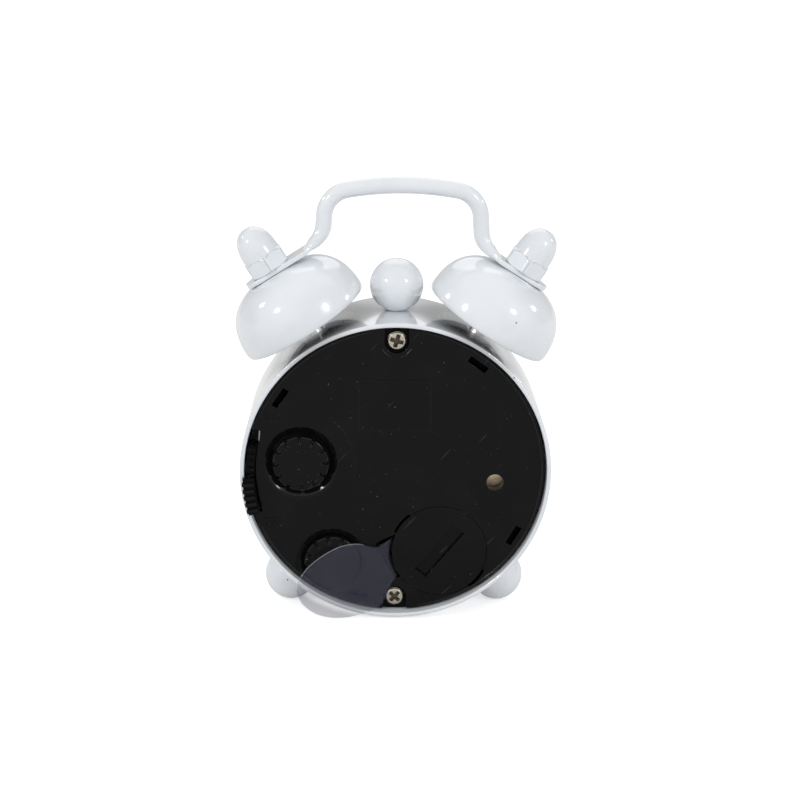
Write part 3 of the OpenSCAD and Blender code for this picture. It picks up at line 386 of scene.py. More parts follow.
def enamel(name, look=enamelLook, shade=None):
    # stove enamel: faint pooling, orange peel, a few pin chips, clear gloss; given shade, also the painted
    # shade and bare steel under the bells
    finish, tree, shader = shaderNodes(name)
    where = objectPlace(tree)
    pooled = spots(tree, where, *look["pooling"])
    chips = spots(tree, where, *look["chips"])
    body = blendColour(tree, pooled, look["white"], look["thin"])
    if shade:
        body, bare = sprayShade(tree, where, body, shade)
        tree.links.new(bare, shader.inputs["Metallic"])
    tree.links.new(blendColour(tree, chips, body, look["chip"]), shader.inputs["Base Color"])
    rangeTo(tree, pooled, *look["rough"], shader.inputs["Roughness"])
    for socket, value in look["coat"].items():
        shader.inputs[socket].default_value = value
    bumpFrom(tree, spots(tree, where, *look["peel"]), *look["bump"], shader)
    return finish


blackLook = {"deep": (0.0017, 0.0017, 0.0022), "worn": (0.003, 0.003, 0.0036), "dust": (0.09, 0.09, 0.095),
             "wear": (240, 0.45, 0.75, 3.0), "specks": (2600, 0.775, 0.79, 1.0), "duller": 0.12,
             "scratches": (420, 0.8, 0.815, 0.0), "slant": 0.75, "stretch": (7, 1, 0.5), "faint": 0.25,
             "grain": (3200, 0.3, 0.7, 2.0), "bump": (0.12, 0.01)}


def blackMoulding(name, look=blackLook, gloss=0.12, shine=0.15):
    # moulded black: fine spark texture, slanting hairline scratches and dust
    finish, tree, shader = shaderNodes(name)
    where = objectPlace(tree)
    worn = spots(tree, where, *look["wear"])
    dust = spots(tree, where, *look["specks"])
    slanted, lines = add(tree, "ShaderNodeMapping"), add(tree, "ShaderNodeMapping")
    slanted.inputs["Rotation"].default_value = (0, look["slant"], 0)
    lines.inputs["Scale"].default_value = look["stretch"]
    tree.links.new(where, slanted.inputs["Vector"])
    tree.links.new(slanted.outputs["Vector"], lines.inputs["Vector"])
    scratches = spots(tree, lines.outputs["Vector"], *look["scratches"])
    body = blendColour(tree, worn, look["deep"], look["worn"])
    body = blendColour(tree, dust, body, look["dust"])
    scratched = tuple(look["faint"] * c for c in look["dust"])
    tree.links.new(blendColour(tree, scratches, body, scratched), shader.inputs["Base Color"])
    rangeTo(tree, worn, gloss, gloss + look["duller"], shader.inputs["Roughness"])
    shader.inputs["Specular IOR Level"].default_value = shine
    bumpFrom(tree, spots(tree, where, *look["grain"]), *look["bump"], shader)
    return finish


mouldedLook = {"drift": (300, 0.35, 0.7, 2.0), "duller": 0.1, "grain": (2400, 0.3, 0.7, 1.0),
               "bump": (0.1, 0.008)}


def plainMoulding(name, colour, shade, rough, specular=0.4, look=mouldedLook):
    # moulded plastic or lacquer with slight colour drift and fine grain
    finish, tree, shader = shaderNodes(name)
    where = objectPlace(tree)
    drift = spots(tree, where, *look["drift"])
    tree.links.new(blendColour(tree, drift, colour, shade), shader.inputs["Base Color"])
    rangeTo(tree, drift, rough, rough + look["duller"], shader.inputs["Roughness"])
    shader.inputs["Specular IOR Level"].default_value = specular
    bumpFrom(tree, spots(tree, where, *look["grain"]), *look["bump"], shader)
    return finish


metalLook = {"tarnish": (420, 0.5, 0.8, 3.0), "duller": 0.18, "lines": (1500, 0.3, 0.7, 2.0),
             "bump": (0.12, 0.01)}


def metal(name, colour, stain, rough, brush=(1, 1, 1), look=metalLook):
    # plated or plain metal with drawn lines and a little tarnish
    finish, tree, shader = shaderNodes(name)
    where = objectPlace(tree)
    tarnish = spots(tree, where, *look["tarnish"])
    tree.links.new(blendColour(tree, tarnish, colour, stain), shader.inputs["Base Color"])
    rangeTo(tree, tarnish, rough, rough + look["duller"], shader.inputs["Roughness"])
    shader.inputs["Metallic"].default_value = 1.0
    drawn = add(tree, "ShaderNodeMapping")
    drawn.inputs["Scale"].default_value = brush
    tree.links.new(where, drawn.inputs["Vector"])
    bumpFrom(tree, spots(tree, drawn.outputs["Vector"], *look["lines"]), *look["bump"], shader)
    return finish


lensLook = {"tint": (0.97, 0.985, 0.98), "index": 1.49, "hairlines": (150, 0.5, 0.8), "rough": (0.0, 0.03),
            "through": 0.06}


def clearLens(name, look=lensLook):
    # clear acrylic with faint hairlines; light goes straight through it to the dial
    finish, tree, shader = shaderNodes(name)
    hairlines = spots(tree, objectPlace(tree), *look["hairlines"])
    rangeTo(tree, hairlines, *look["rough"], shader.inputs["Roughness"])
    shader.inputs["Base Color"].default_value = (*look["tint"], 1)
    shader.inputs["Transmission Weight"].default_value = 1.0
    shader.inputs["IOR"].default_value = look["index"]
    path = add(tree, "ShaderNodeLightPath")
    through = add(tree, "ShaderNodeMath", operation="MAXIMUM")
    tree.links.new(path.outputs["Is Shadow Ray"], through.inputs[0])
    tree.links.new(path.outputs["Is Diffuse Ray"], through.inputs[1])
    rangeTo(tree, through.outputs[0], 1.0, look["through"], shader.inputs["Alpha"])
    return finish


filmLook = {"haze": ((0.14, 0.14, 0.2), (0.17, 0.17, 0.24)), "clear": 0.14, "outerVeil": 0.33,
            "past": (-0.2, 0.6), "marks": (260, 0.4, 0.75, 3.0), "rough": (0.1, 0.2), "shine": 0.2,
            "ripple": (120, 0.2, 0.8, 0.0), "bump": (0.08, 0.04)}


def clearFilm(name, look=filmLook):
    # thin polyester film: a lilac veil with handling marks; the veil is denser where its end stands out past
    # the drum, a painted shade there
    finish, tree, shader = shaderNodes(name)
    where = objectPlace(tree)
    marks = spots(tree, where, *look["marks"])
    tree.links.new(blendColour(tree, marks, *look["haze"]), shader.inputs["Base Color"])
    rangeTo(tree, marks, *look["rough"], shader.inputs["Roughness"])
    away = add(tree, "ShaderNodeVectorMath", operation="DISTANCE")
    flat = add(tree, "ShaderNodeVectorMath", operation="MULTIPLY")
    flat.inputs[1].default_value = (1, 0, 1)
    away.inputs[1].default_value = (0, 0, axisZ * mm)
    tree.links.new(where, flat.inputs[0])
    tree.links.new(flat.outputs[0], away.inputs[0])
    start, stop = look["past"]
    outer = fade(tree, away.outputs["Value"], drumR + start, drumR + stop)
    rangeTo(tree, outer, look["clear"], look["outerVeil"], shader.inputs["Alpha"])
    shader.inputs["Specular IOR Level"].default_value = look["shine"]
    bumpFrom(tree, spots(tree, where, *look["ripple"]), *look["bump"], shader)
    return finish


# near black for recess floors and the movement plate: a painted shade for what lies deep in the back's slots
shadeBlack = ((0.0015, 0.0015, 0.0017), (0.002, 0.002, 0.0022))
finishes = {
    "enamel": enamel("enamel"),
    "clear_lens": clearLens("clearLens"),
    "white_plastic": plainMoulding("whiteMoulding", (0.80, 0.80, 0.78), (0.74, 0.74, 0.72), 0.4),
    "dial_print": plainMoulding("dialSheet", (0.86, 0.855, 0.82), (0.82, 0.815, 0.78), 0.55, 0.25),
    # the movement plate, seen only through the back's slots, is near black as painted shade
    "grey_plastic": plainMoulding("shadedPlate", *shadeBlack, 0.6, 0.03),
    "black_plastic": blackMoulding("blackMoulding"),
    "bright_steel": metal("nickelPlate", (0.5, 0.46, 0.385), (0.28, 0.235, 0.17), 0.26, (1, 12, 1)),
    "cell_steel": metal("cellCan", (0.66, 0.66, 0.66), (0.5, 0.49, 0.47), 0.28, (8, 1, 1)),
    "contact_brass": metal("contactBrass", (0.74, 0.55, 0.25), (0.5, 0.34, 0.14), 0.26),
    "clear_film": clearFilm("clearFilm"),
    "board_green": plainMoulding("boardLacquer", (0.02, 0.11, 0.04), (0.03, 0.15, 0.06), 0.35),
    "chip_black": plainMoulding("chipResin", (0.01, 0.01, 0.01), (0.02, 0.02, 0.02), 0.2),
    "coil_wire": metal("coilWire", (0.55, 0.22, 0.08), (0.38, 0.14, 0.05), 0.3, (40, 1, 1)),
    "sounder_brass": metal("sounderBrass", (0.66, 0.53, 0.38), (0.5, 0.38, 0.26), 0.42),
    "gear_plastic": plainMoulding("gearMoulding", (0.78, 0.76, 0.68), (0.72, 0.70, 0.62), 0.32),
    "magnet_grey": plainMoulding("magnet", (0.05, 0.05, 0.055), (0.08, 0.08, 0.085), 0.5),
    "hand_black": plainMoulding("handLacquer", (0.01, 0.01, 0.01), (0.016, 0.016, 0.016), 0.3),
    "hand_red": plainMoulding("redLacquer", (0.55, 0.02, 0.02), (0.48, 0.015, 0.015), 0.3),
}
# leaning faces and bevels: glossier plastic, and a lighter base as a painted sheen
edgeSheenLook = {**blackLook, "deep": (0.005, 0.005, 0.0055), "worn": (0.006, 0.006, 0.0065)}
# darker grey-blue enamel on the nuts' seams: a painted reflection
seamShadeLook = {**enamelLook, "white": (0.58, 0.625, 0.68), "thin": (0.52, 0.565, 0.63)}
# a lighter, denser veil for the film's upper edge: a painted highlight
edgeHighlightLook = {**filmLook, "haze": ((0.5, 0.5, 0.54), (0.6, 0.6, 0.64)), "clear": 0.4, "outerVeil": 0.4}
glossyEdgeSheen = blackMoulding("glossyEdgeSheen", edgeSheenLook, gloss=0.14, shine=0.24)
slotFloor = blackMoulding("slotFloor", shine=0.135)
# floors well under the top of a black moulding: painted shade
recessShade = plainMoulding("recessShade", *shadeBlack, 0.5, 0.085)
seamShadeEnamel = enamel("seamShadeEnamel", seamShadeLook)
filmEdgeHighlight = clearFilm("filmEdgeHighlight", edgeHighlightLook)
# bell insides: bare metal whose dark colour is a painted shade in the hollow
bareBellShade = metal("bareBellShade", (0.17, 0.17, 0.175), (0.1, 0.098, 0.095), 0.35, (3, 1, 3))
postChrome = metal("postChrome", (0.62, 0.62, 0.62), (0.42, 0.41, 0.4), 0.16, (1, 1, 14))
# dark brown deep in the screws' cross: dirt and painted shade
recessGrimeShade = plainMoulding("recessGrimeShade", (0.1, 0.075, 0.05), (0.05, 0.038, 0.026), 0.5, 0.3)
dialInk = plainMoulding("dialInk", (0.012, 0.012, 0.012), (0.02, 0.02, 0.02), 0.5, 0.2)
for entry in frame["record"]["subparts"]:
    part = nodes[entry["node"]].data
    part.materials.clear()
    part.materials.append(finishes[entry["material_slot"]])
print("finishes:", len(finishes))

# Drum: rolled front bezel, straight wall and a round rear rim, with painted shade and bare steel under the
# bells
drum = {"wall": 0.6, "bezel": 1.6, "opening": 17.8, "lip": 0.25, "rim": 0.28, "inside": 0.05,
        "steps": 9, "sides": 192}
# even and dull are distances from a bell's axis where the painted shade starts and where it is full grey
bellShading = {"even": 10.5, "dull": 7.0, "grey": (0.4, 0.41, 0.42), "bare": 6.6, "soft": 0.2, "ragged": 2.0,
           "speckles": (3600, 0.25, 0.75, 1.0), "steel": (0.34, 0.35, 0.37)}


def drumProfile(d):
    # rounded corners of [r, y] round the sheet: bezel, rear rim, straight inside and back of the bezel's lip
    inner, opening = drumR - d["wall"], d["opening"]
    corners = [[opening, frontY, d["lip"]], [drumR, frontY, d["bezel"]], [drumR, rearY, d["rim"]],
               [inner, rearY, d["rim"]], [inner, lensFront, d["inside"]], [opening, lensFront, d["lip"]]]
    return rounded(corners, d["steps"])


piece("drumSkin", [grid(alongY(turn(drumProfile(drum), drum["sides"])), closeRows=True)],
      "case", [enamel("drumEnamelBellShade", shade=bellShading)], ["case_shell"])

# Bells: squarish domes with a rolled lip, bare metal inside, darkened as painted shade
bell = {"rim": 9.2, "off": 22.72, "height": 8.0, "wall": 0.6, "hole": 1.55, "clear": 0.02, "power": 2.62,
        "land": 0.13, "low": 4, "steps": 60, "lipSteps": 11, "sides": 160}


def bellCurve(b, shrink):
    # superellipse: radius goes with cos, height with sin, both to the power 2/n, cut flat at the top
    a = np.radians(np.linspace(b["low"], 90, b["steps"]))
    r = (b["rim"] - shrink) * np.cos(a) ** (2 / b["power"])
    h = (b["height"] - shrink + b["land"]) * np.sin(a) ** (2 / b["power"])
    keep = r > b["hole"] + b["clear"]
    top = b["height"] - shrink
    return np.vstack([np.stack([r, np.minimum(h, top)], -1)[keep], [[b["hole"], top]]])


def bellProfile(b):
    # outer curve up, inner curve down and a half-round lip between their feet; the inner wall is marked 1
    outer, inner = bellCurve(b, 0.0), bellCurve(b, b["wall"])[::-1]
    t = np.linspace(0, np.pi, b["lipSteps"])[1:-1]
    mid, low = b["rim"] - b["wall"] / 2, outer[0, 1]
    lip = np.stack([mid - b["wall"] / 2 * np.cos(t), low * (1 - np.sin(t))], -1)
    marks = np.repeat([0, 1, 0], [len(outer), len(inner) - 1, len(lip) + 1])
    return np.vstack([outer, inner, lip]) + [0, b["off"]], marks


bellRing, bellMarks = bellProfile(bell)
for side, flip in (("left", flipped), ("right", np.asarray)):
    shell = leant(turn(bellRing, bell["sides"]), bellLean)
    piece(side + "BellShell", [grid(flip(shell), closeRows=True, finish=bellMarks)], "case",
          [finishes["enamel"], bareBellShade], [side + "_bell"])
print("drum and bells made")

# Posts under the bells: a turned sleeve with two grooves on a plain rod
post = {"rod": 1.45, "sleeve": 1.95, "foot": 19.07, "seat": 20.75, "top": 30.12, "end": 35.8, "steps": 120,
        "grooves": (22.2, 23.4), "walls": ((0.35, 0.5), (0.75, 0.9)), "deep": 0.12, "sides": 72}


def postProfile(p):
    # rod, sleeve and rod again; a groove is a step down less a step up along the sleeve
    h = np.linspace(p["seat"], p["top"], p["steps"])
    down, up = p["walls"]
    cut = sum(ease(*down, h - at) - ease(*up, h - at) for at in p["grooves"])
    sleeve = np.stack([p["sleeve"] - p["deep"] * cut, h], -1)
    return np.vstack([[[0, p["foot"]], [p["rod"], p["foot"]], [p["rod"], p["seat"]]], sleeve,
                      [[p["rod"], p["top"]], [p["rod"], p["end"]], [0, p["end"]]]])


postShape = leant(turn(postProfile(post), post["sides"]), bellLean)
piece("bellPosts", [grid(postShape), grid(flipped(postShape))], "case",
      [postChrome], ["bell_posts"])

# Domed nuts: a hexagon softened by the enamel, chamfered into a round cap
nut = {"flats": 5.4, "hex": 2.2, "height": 6.3, "dome": 2.62, "seat": 31.42, "turn": 38, "soft": 90,
       "blend": 55, "chamfer": 0.3, "slopes": (1.4, 0.8), "ledge": 0.02, "trim": 0.12, "seam": 0.08,
       "cut": 0.01, "corner": 0.985, "power": 0.85, "step": 0.03, "foot": 0.4, "crown": 0.8, "gap": 0.1,
       "rows": (8, 8, 14), "domeRows": 28, "sides": 240}


def nutShape(n):
    # hexagon as a p-norm of six directions, cut by chamfer cones with a soft minimum, under a squarish dome;
    # its seams, the six corners and the lines where flats and cones meet, take a painted reflection in darker
    # grey-blue
    sides, flat, corner = n["sides"], n["flats"] / 2, n["flats"] / math.sqrt(3)
    t = np.linspace(0, 2 * np.pi, sides, endpoint=False)
    ways = np.radians(n["turn"] + 30 + 60 * np.arange(6))
    hexR = flat / (np.clip(np.cos(t[:, None] - ways), 0, 1) ** n["soft"]).sum(1) ** (1 / n["soft"])
    low, high, gap = n["foot"], n["hex"] - n["crown"], n["gap"]
    spans = ((0, low), (low + gap, high - gap), (high, n["hex"]))
    h = np.concatenate([np.linspace(*span, count) for span, count in zip(spans, n["rows"])])
    under, over = n["slopes"]
    cone = np.minimum(corner - n["chamfer"] + under * h, flat + n["ledge"] + over * (n["hex"] - h))
    widest = corner - n["trim"]
    cone = np.minimum(cone, widest)
    k = n["blend"]
    r = -np.log(np.exp(-k * hexR[None]) + np.exp(-k * cone[:, None])) / k
    corners = np.cos(6 * (t + np.pi / sides - math.radians(n["turn"]))) > n["corner"]
    edges = (np.abs(hexR[None] - cone[:, None]) < n["seam"]) & (cone[:, None] < widest - n["cut"])
    a = np.radians(np.linspace(0, 90, n["domeRows"]))
    base = n["hex"] + n["step"]
    out, up = np.cos(a) ** n["power"], np.sin(a) ** n["power"]
    cap = np.stack([n["dome"] * out, base + (n["height"] - base) * up], -1)
    r = np.vstack([0 * r[:1], r, np.repeat(cap[:, :1], sides, 1)])
    z = np.concatenate([[0], h, cap[:, 1]])
    marks = np.zeros(r.shape, int)
    marks[1:len(h)] = (edges | corners)[:-1]
    return np.stack([r * np.cos(t), r * np.sin(t), n["seat"] + z[:, None] + 0 * r], -1), marks


nutPoints, nutSeamShade = nutShape(nut)
nutPoints = leant(nutPoints, bellLean)
piece("domedNuts", [grid(nutPoints, finish=nutSeamShade), grid(flipped(nutPoints), finish=nutSeamShade)],
      "case", [finishes["enamel"], seamShadeEnamel], ["cap_nuts"], sharp=45)

# Handle: round wire over the top, flattened to a strap under the nut of each bell
handle = {"wire": 1.1, "top": 38.95, "half": 7.35, "arch": 42.0, "set": -0.7, "corner": 3.75, "slope": 3.9,
          "low": 3.35, "strap": 30.72, "thick": 0.7, "wide": 5.0, "run": 1.5, "lift": 0.3, "end": 4.0,
          "last": 88, "square": 0.72, "sides": 40,
          "steps": {"top": 12, "over": 20, "bend": 22, "flat": 18, "end": 16}}


def handleSide(h, shift):
    # stations [x, z, heading, half width, half thickness, squareness] from the top's middle to a strap's end
    def way(a):
        # unit vector at an angle in degrees
        return np.stack([np.cos(np.radians(a)), np.sin(np.radians(a))], -1)

    steps = h["steps"]
    archBy = math.degrees(math.asin(h["half"] / h["arch"]))
    archAt = np.array([shift, h["top"] - h["wire"] - h["arch"]])
    corner = archAt + (h["arch"] - h["corner"]) * way(90 - archBy)
    legTop, legWay = corner + h["corner"] * way(h["slope"]), way(h["slope"] - 90)
    outWay, upWay = way(-bellLean), way(90 - bellLean)
    halfW, halfT = h["wide"] / 2, h["thick"] / 2
    strapAt = (h["strap"] + halfT + h["lift"]) * upWay
    gap = strapAt - legTop
    legLen = (gap[0] * outWay[1] - gap[1] * outWay[0]) / (legWay[0] * outWay[1] - legWay[1] * outWay[0])
    crossing = legTop + legLen * legWay
    turnBy = 90 - h["slope"] - bellLean
    backOff = h["low"] * math.tan(math.radians(turnBy / 2))
    bendAt = crossing - backOff * legWay + h["low"] * way(h["slope"])
    strapIn = np.linalg.norm(strapAt - crossing) - backOff

    def rows(at, heading, wide, thick, square):
        # one station for each place, with single values repeated
        cols = [np.broadcast_to(np.asarray(v, float), (len(at),)) for v in (heading, wide, thick, square)]
        return np.column_stack([at] + cols)

    def pressed(at, heading, g):
        # wire at g = 0, strap at g = 1
        return rows(at, heading, h["wire"] + (halfW - h["wire"]) * g, h["wire"] + (halfT - h["wire"]) * g, g)

    a = np.linspace(90, 90 - archBy, steps["top"])
    top = pressed(archAt + h["arch"] * way(a), a - 90, 0)
    a = np.linspace(90 - archBy, h["slope"], steps["over"])[1:]
    over = pressed(corner + h["corner"] * way(a), a - 90, 0)
    b = np.linspace(h["slope"] - 180, h["slope"] - 180 + turnBy, steps["bend"])
    # half of the flattening is in the bend, and half in the strap
    g = (1 - np.cos(np.pi / 2 * np.linspace(0, 1, steps["bend"]))) / 2
    low = pressed(bendAt + h["low"] * way(b), b + 90, g)
    f = np.linspace(0, 1, steps["flat"])[1:]
    sink = np.outer((1 - np.cos(np.pi * f)) / 2 * h["lift"], upWay)
    flat = pressed(strapAt + np.outer(h["run"] * f - strapIn, outWay) - sink, -bellLean,
                   (1 - np.cos(np.pi / 2 * (1 + f))) / 2)
    e = np.radians(np.linspace(0, h["last"], steps["end"]))
    end = rows(strapAt + np.outer(h["end"] - halfW + halfW * np.sin(e), outWay) - h["lift"] * upWay,
               -bellLean, halfW * np.cos(e), halfT, 1)
    return np.vstack([top, over, low, flat, end])


def handleShape(h):
    # round each station a superellipse, whose power falls from 1 for the wire as it squares to the strap
    left = handleSide(h, -h["set"])[:0:-1] * [-1, 1, -1, 1, 1, 1]
    s = np.vstack([left, handleSide(h, h["set"])])
    a = 2 * np.pi * np.arange(h["sides"]) / h["sides"]
    power = 1 - h["square"] * s[:, 5:]
    up = s[:, 4:5] * np.sign(np.sin(a)) * np.abs(np.sin(a)) ** power
    out = s[:, 3:4] * np.sign(np.cos(a)) * np.abs(np.cos(a)) ** power
    turned = np.radians(s[:, 2:3])
    ring = np.stack([s[:, :1] - up * np.sin(turned), out, axisZ + s[:, 1:2] + up * np.cos(turned)], -1)
    ends = ring.mean(1, keepdims=True) + 0 * ring
    return np.concatenate([ends[:1], ring, ends[-1:]])


piece("wireHandle", [grid(handleShape(handle))], "case", [finishes["enamel"]], ["handle"], sharp=50)
print("posts, nuts and handle made")

# Ball on top and the two feet: spheres saddled on the drum, feet flattened where they stand
topBall = {"radius": 3.63, "off": 24.38, "angle": 0.0}
footBall = {"radius": 3.65, "off": 23.0, "angle": 140.5}


def ballShape(b, rows=64, sides=128):
    # a sphere whose points inside the drum are pushed out onto it and whose points under the table rise to it
    a = np.radians(np.linspace(-90, 90, rows))
    profile = np.stack([b["radius"] * np.cos(a), b["off"] + b["radius"] * np.sin(a)], -1)
    p = leant(turn(profile, sides), b["angle"])
    reach = np.hypot(p[..., 0], p[..., 2] - axisZ)
    push = np.maximum(drumR / reach, 1)
    p[..., 0] *= push
    p[..., 2] = np.maximum(axisZ + (p[..., 2] - axisZ) * push, 0)
    return p


foot = ballShape(footBall)
for name, shape, node in (("topBall", ballShape(topBall), "top_ball"),
                          ("leftFoot", flipped(foot), "left_foot"), ("rightFoot", foot, "right_foot")):
    piece(name, [grid(shape)], "case", [finishes["enamel"]], [node], sharp=40)

# Setting knobs: a disc whose rim is cut by short radial notches
knob = {"radius": 3.83, "height": 1.2, "foot": (0.15, 0.3), "footSoft": 0.1, "rim": 0.24, "steps": 7,
        "face": (0.25, 0.02), "faceRows": 26, "sides": 360, "notches": 12, "notch": (0.72, 0.95),
        "reach": 0.95, "wall": 0.25, "base": (0.35, 0.6), "crown": (0.3, 0.05), "depth": 0.34, "bite": 0.22,
        "phases": {"time": 0.4, "alarm": 1.7}}


def knobShape(k, x, z, phase):
    # a turned disc with a round rim; where the cosine of the notch count times the angle is near 1,
    # the face drops and the rim draws in
    low, high, r, steps = knobTop - k["height"], knobTop, k["radius"], k["steps"]
    inset, rise = k["foot"]
    ring = rounded([[0, low, 0], [r - inset, low, k["footSoft"]], [r, low + rise, k["footSoft"]],
                    [r, high, k["rim"]], [0, high, 0]], steps, False)
    edge, hub = k["face"]
    face = np.linspace([r - edge, high], [hub, high], k["faceRows"])
    p = turn(np.vstack([ring[:-steps], face, [[0, high]]]), k["sides"])
    t = np.linspace(0, 2 * np.pi, k["sides"], endpoint=False)
    cut = ease(*k["notch"], np.cos(k["notches"] * t + phase))
    reach = np.hypot(p[..., 0], p[..., 1])
    start, (below, above), (far, near) = r - k["reach"], k["base"], k["crown"]
    cut = cut * (ease(start, start + k["wall"], reach) * ease(low + below, low + above, p[..., 2]))
    p[..., 2] -= k["depth"] * cut * ease(high - far, high - near, p[..., 2])
    p[..., :2] *= (1 - k["bite"] / r * cut * ease(r - far, r - near, reach))[..., None]
    return alongY(p, x, z)


blackSet = [finishes["black_plastic"], glossyEdgeSheen, recessShade]
for name, phase in knob["phases"].items():
    at = middle(name + "_knob")
    shape = knobShape(knob, at[0], at[2] - axisZ, phase)
    piece(name + "Knob", [grid(shape, finish=leaning(shape))], name + "_knob",
          blackSet, [name + "_knob"], sharp=35)

# Screws: low domes with a worn cross recess, dark brown deep in the cross as dirt and painted shade
screw = {"radius": 1.27, "head": 0.65, "ring": 18.35, "shank": 0.7, "tip": 0.1, "dome": 0.2, "power": 2.6,
         "edge": 0.12, "edgeRun": 0.2, "skirt": 0.1, "arm": 0.92, "armRun": 0.16, "width": 0.24,
         "wall": (0.05, 0.06), "deep": 0.4, "grimeShade": 0.4, "turns": (0.3, 0.75), "rows": 40, "sides": 160}


def screwShape(s, z, turnBy):
    # head height is a shallow dome less the cross, whose arms narrow with depth
    base, size, (outside, inside) = screwTop - s["head"], s["radius"], s["wall"]
    r = np.linspace(0, size, s["rows"])
    dome = screwTop - s["dome"] * (r / size) ** s["power"] - s["edge"] * ease(size - s["edgeRun"], size, r)
    p = turn(np.stack([r, dome], -1), s["sides"])
    c, d = math.cos(turnBy), math.sin(turnBy)
    u, v = p[..., 0] * c + p[..., 1] * d, p[..., 1] * c - p[..., 0] * d
    arms = [ease(-s["width"] - outside, -s["width"] + inside, -np.abs(q))
            * ease(-s["arm"], -s["arm"] + s["armRun"], -np.abs(w)) for q, w in ((u, v), (v, u))]
    cross = np.maximum(*arms)
    p[..., 2] -= s["deep"] * cross
    edge = turn([[size, base + s["skirt"]], [size, base], [s["shank"], base],
                 [s["shank"], s["tip"]], [0, s["tip"]]], s["sides"])
    # cells deep in the cross take the dark brown of dirt and painted shade
    marks = np.concatenate([(cross > s["grimeShade"]).astype(int), np.zeros(edge.shape[:2], int)])
    return grid(alongY(np.concatenate([p, edge]), 0, z), finish=marks)


heights = (screw["ring"], -screw["ring"])
piece("caseScrews", [screwShape(screw, z, turnBy) for z, turnBy in zip(heights, screw["turns"])],
      "case", [finishes["bright_steel"], recessGrimeShade], ["back_screws"], sharp=45)
print("ball, feet, knobs and screws made")

# Back moulding, battery cover and alarm slider keep their CAD shapes, with their edges broken
edgeWidth = {"back": 0.06, "lid": 0.06, "slider": 0.05}
lidSet = [finishes["black_plastic"], glossyEdgeSheen, slotFloor]
back = softened("backMoulding", "back_cover", "case", blackSet, edgeWidth["back"])
softened("batteryLid", "battery_cover", "battery_cover", lidSet, edgeWidth["lid"])
softened("alarmSlider", "alarm_switch", "alarm_switch", blackSet, edgeWidth["slider"])

# Lips of the knobs' dishes: soft cones that catch the lamps, kept inside the cover's edge
lips = {"time": {"outer": 5.0, "inner": 4.34, "wide": 5.35, "deep": 0.6, "power": 1.35},
        "alarm": {"outer": 4.35, "inner": 3.93, "wide": 5.3, "deep": 0.6, "power": 1.35}}
lipLimit = 20.0
lipSlack = 0.02


def softenLip(made, at, d):
    # each ring has a share u of the way in; it goes to radius wide - (wide - inner) u and depth deep u^power,
    # where wide ends at the circle of the limit round the drum's axis
    flat = np.zeros(len(made.data.vertices) * 3)
    made.data.vertices.foreach_get("co", flat)
    p = flat.reshape(-1, 3) / mm
    away = p[:, [0, 2]] - at[[0, 2]]
    reach = np.linalg.norm(away, axis=1)
    u = (d["outer"] - reach) / (d["outer"] - d["inner"])
    sunk, half = coverFace - p[:, 1], d["deep"] / 2
    ring = (np.abs(u - 0.5) < 0.5 + lipSlack) & (np.abs(sunk - half) < half + lipSlack)
    u = np.clip(u[ring], 0, 1)
    p[ring, 1] = coverFace - d["deep"] * u ** d["power"]
    off = np.array([at[0], at[2] - axisZ])
    along = away[ring] @ off / reach[ring]
    wide = np.minimum(d["wide"], np.sqrt(along ** 2 - off @ off + lipLimit ** 2) - along)
    scale = (wide - (wide - d["inner"]) * u) / reach[ring]
    p[np.ix_(ring, [0, 2])] = at[[0, 2]] + away[ring] * scale[:, None]
    made.data.vertices.foreach_set("co", (p * mm).reshape(-1))
    made.data.update()


for name, size in lips.items():
    softenLip(back, middle(name + "_knob"), size)

# Moulded trim on the back: lips under the top screw, a bead along the edge, plain words at the switch's ends
screwLip = {"radius": 2.2, "arcs": ((206, 256), (284, 334)), "width": 0.3, "lift": 0.18, "count": 40}
edgeBead = {"radius": 19.85, "arcs": ((23, 82), (98, 262), (278, 337)), "width": 0.34, "lift": 0.12,
            "count": 160}
beadForm = {"sink": 0.04, "power": 8, "sides": 16}
switchText = {"words": (("ON", 25.5), ("OFF", -23.0)), "ring": 18.3, "size": 1.35, "sink": 0.01, "lift": 0.07}


def arcPath(radius, z, low, high, count):
    # points of a circle's arc, at z over the drum's axis
    a = np.radians(np.linspace(low, high, count))
    return np.stack([radius * np.cos(a), z + radius * np.sin(a)], -1)


def bead(path, b):
    # across each point of a path on the back: cos t half widths sideways and sin t lifts up,
    # shrinking to nothing at both ends
    step = np.gradient(path, axis=0)
    side = np.stack([-step[:, 1], step[:, 0]], -1) / np.linalg.norm(step, axis=1, keepdims=True)
    u = np.linspace(0, 1, len(path))
    swell = np.sqrt(np.clip(1 - np.abs(2 * u - 1) ** beadForm["power"], 0, 1))[:, None]
    t = np.linspace(0, 2 * np.pi, beadForm["sides"], endpoint=False)
    across = swell * b["width"] / 2 * np.cos(t)
    y = coverFace - beadForm["sink"] + swell * (b["lift"] + beadForm["sink"]) * np.maximum(np.sin(t), 0)
    flat = path[:, None] + side[:, None] * across[..., None]
    return np.stack([flat[..., 0], y, axisZ + flat[..., 1]], -1)


for name, b, z in (("screwLips", screwLip, screw["ring"]), ("edgeBead", edgeBead, 0)):
    beads = [grid(bead(arcPath(b["radius"], z, *arc, b["count"]), b)) for arc in b["arcs"]]
    piece(name, beads, "case", [glossyEdgeSheen])
shapes = []
for word, angle in switchText["words"]:
    way = math.radians(angle)
    centre = switchText["ring"] * np.array([math.cos(way), math.sin(way)])
    shapes.append(placedText(word, switchText["size"], onFace(centre, coverFace - switchText["sink"], -1)))
inkPiece("switchWords", shapes, "case", finishes["black_plastic"], switchText["lift"])

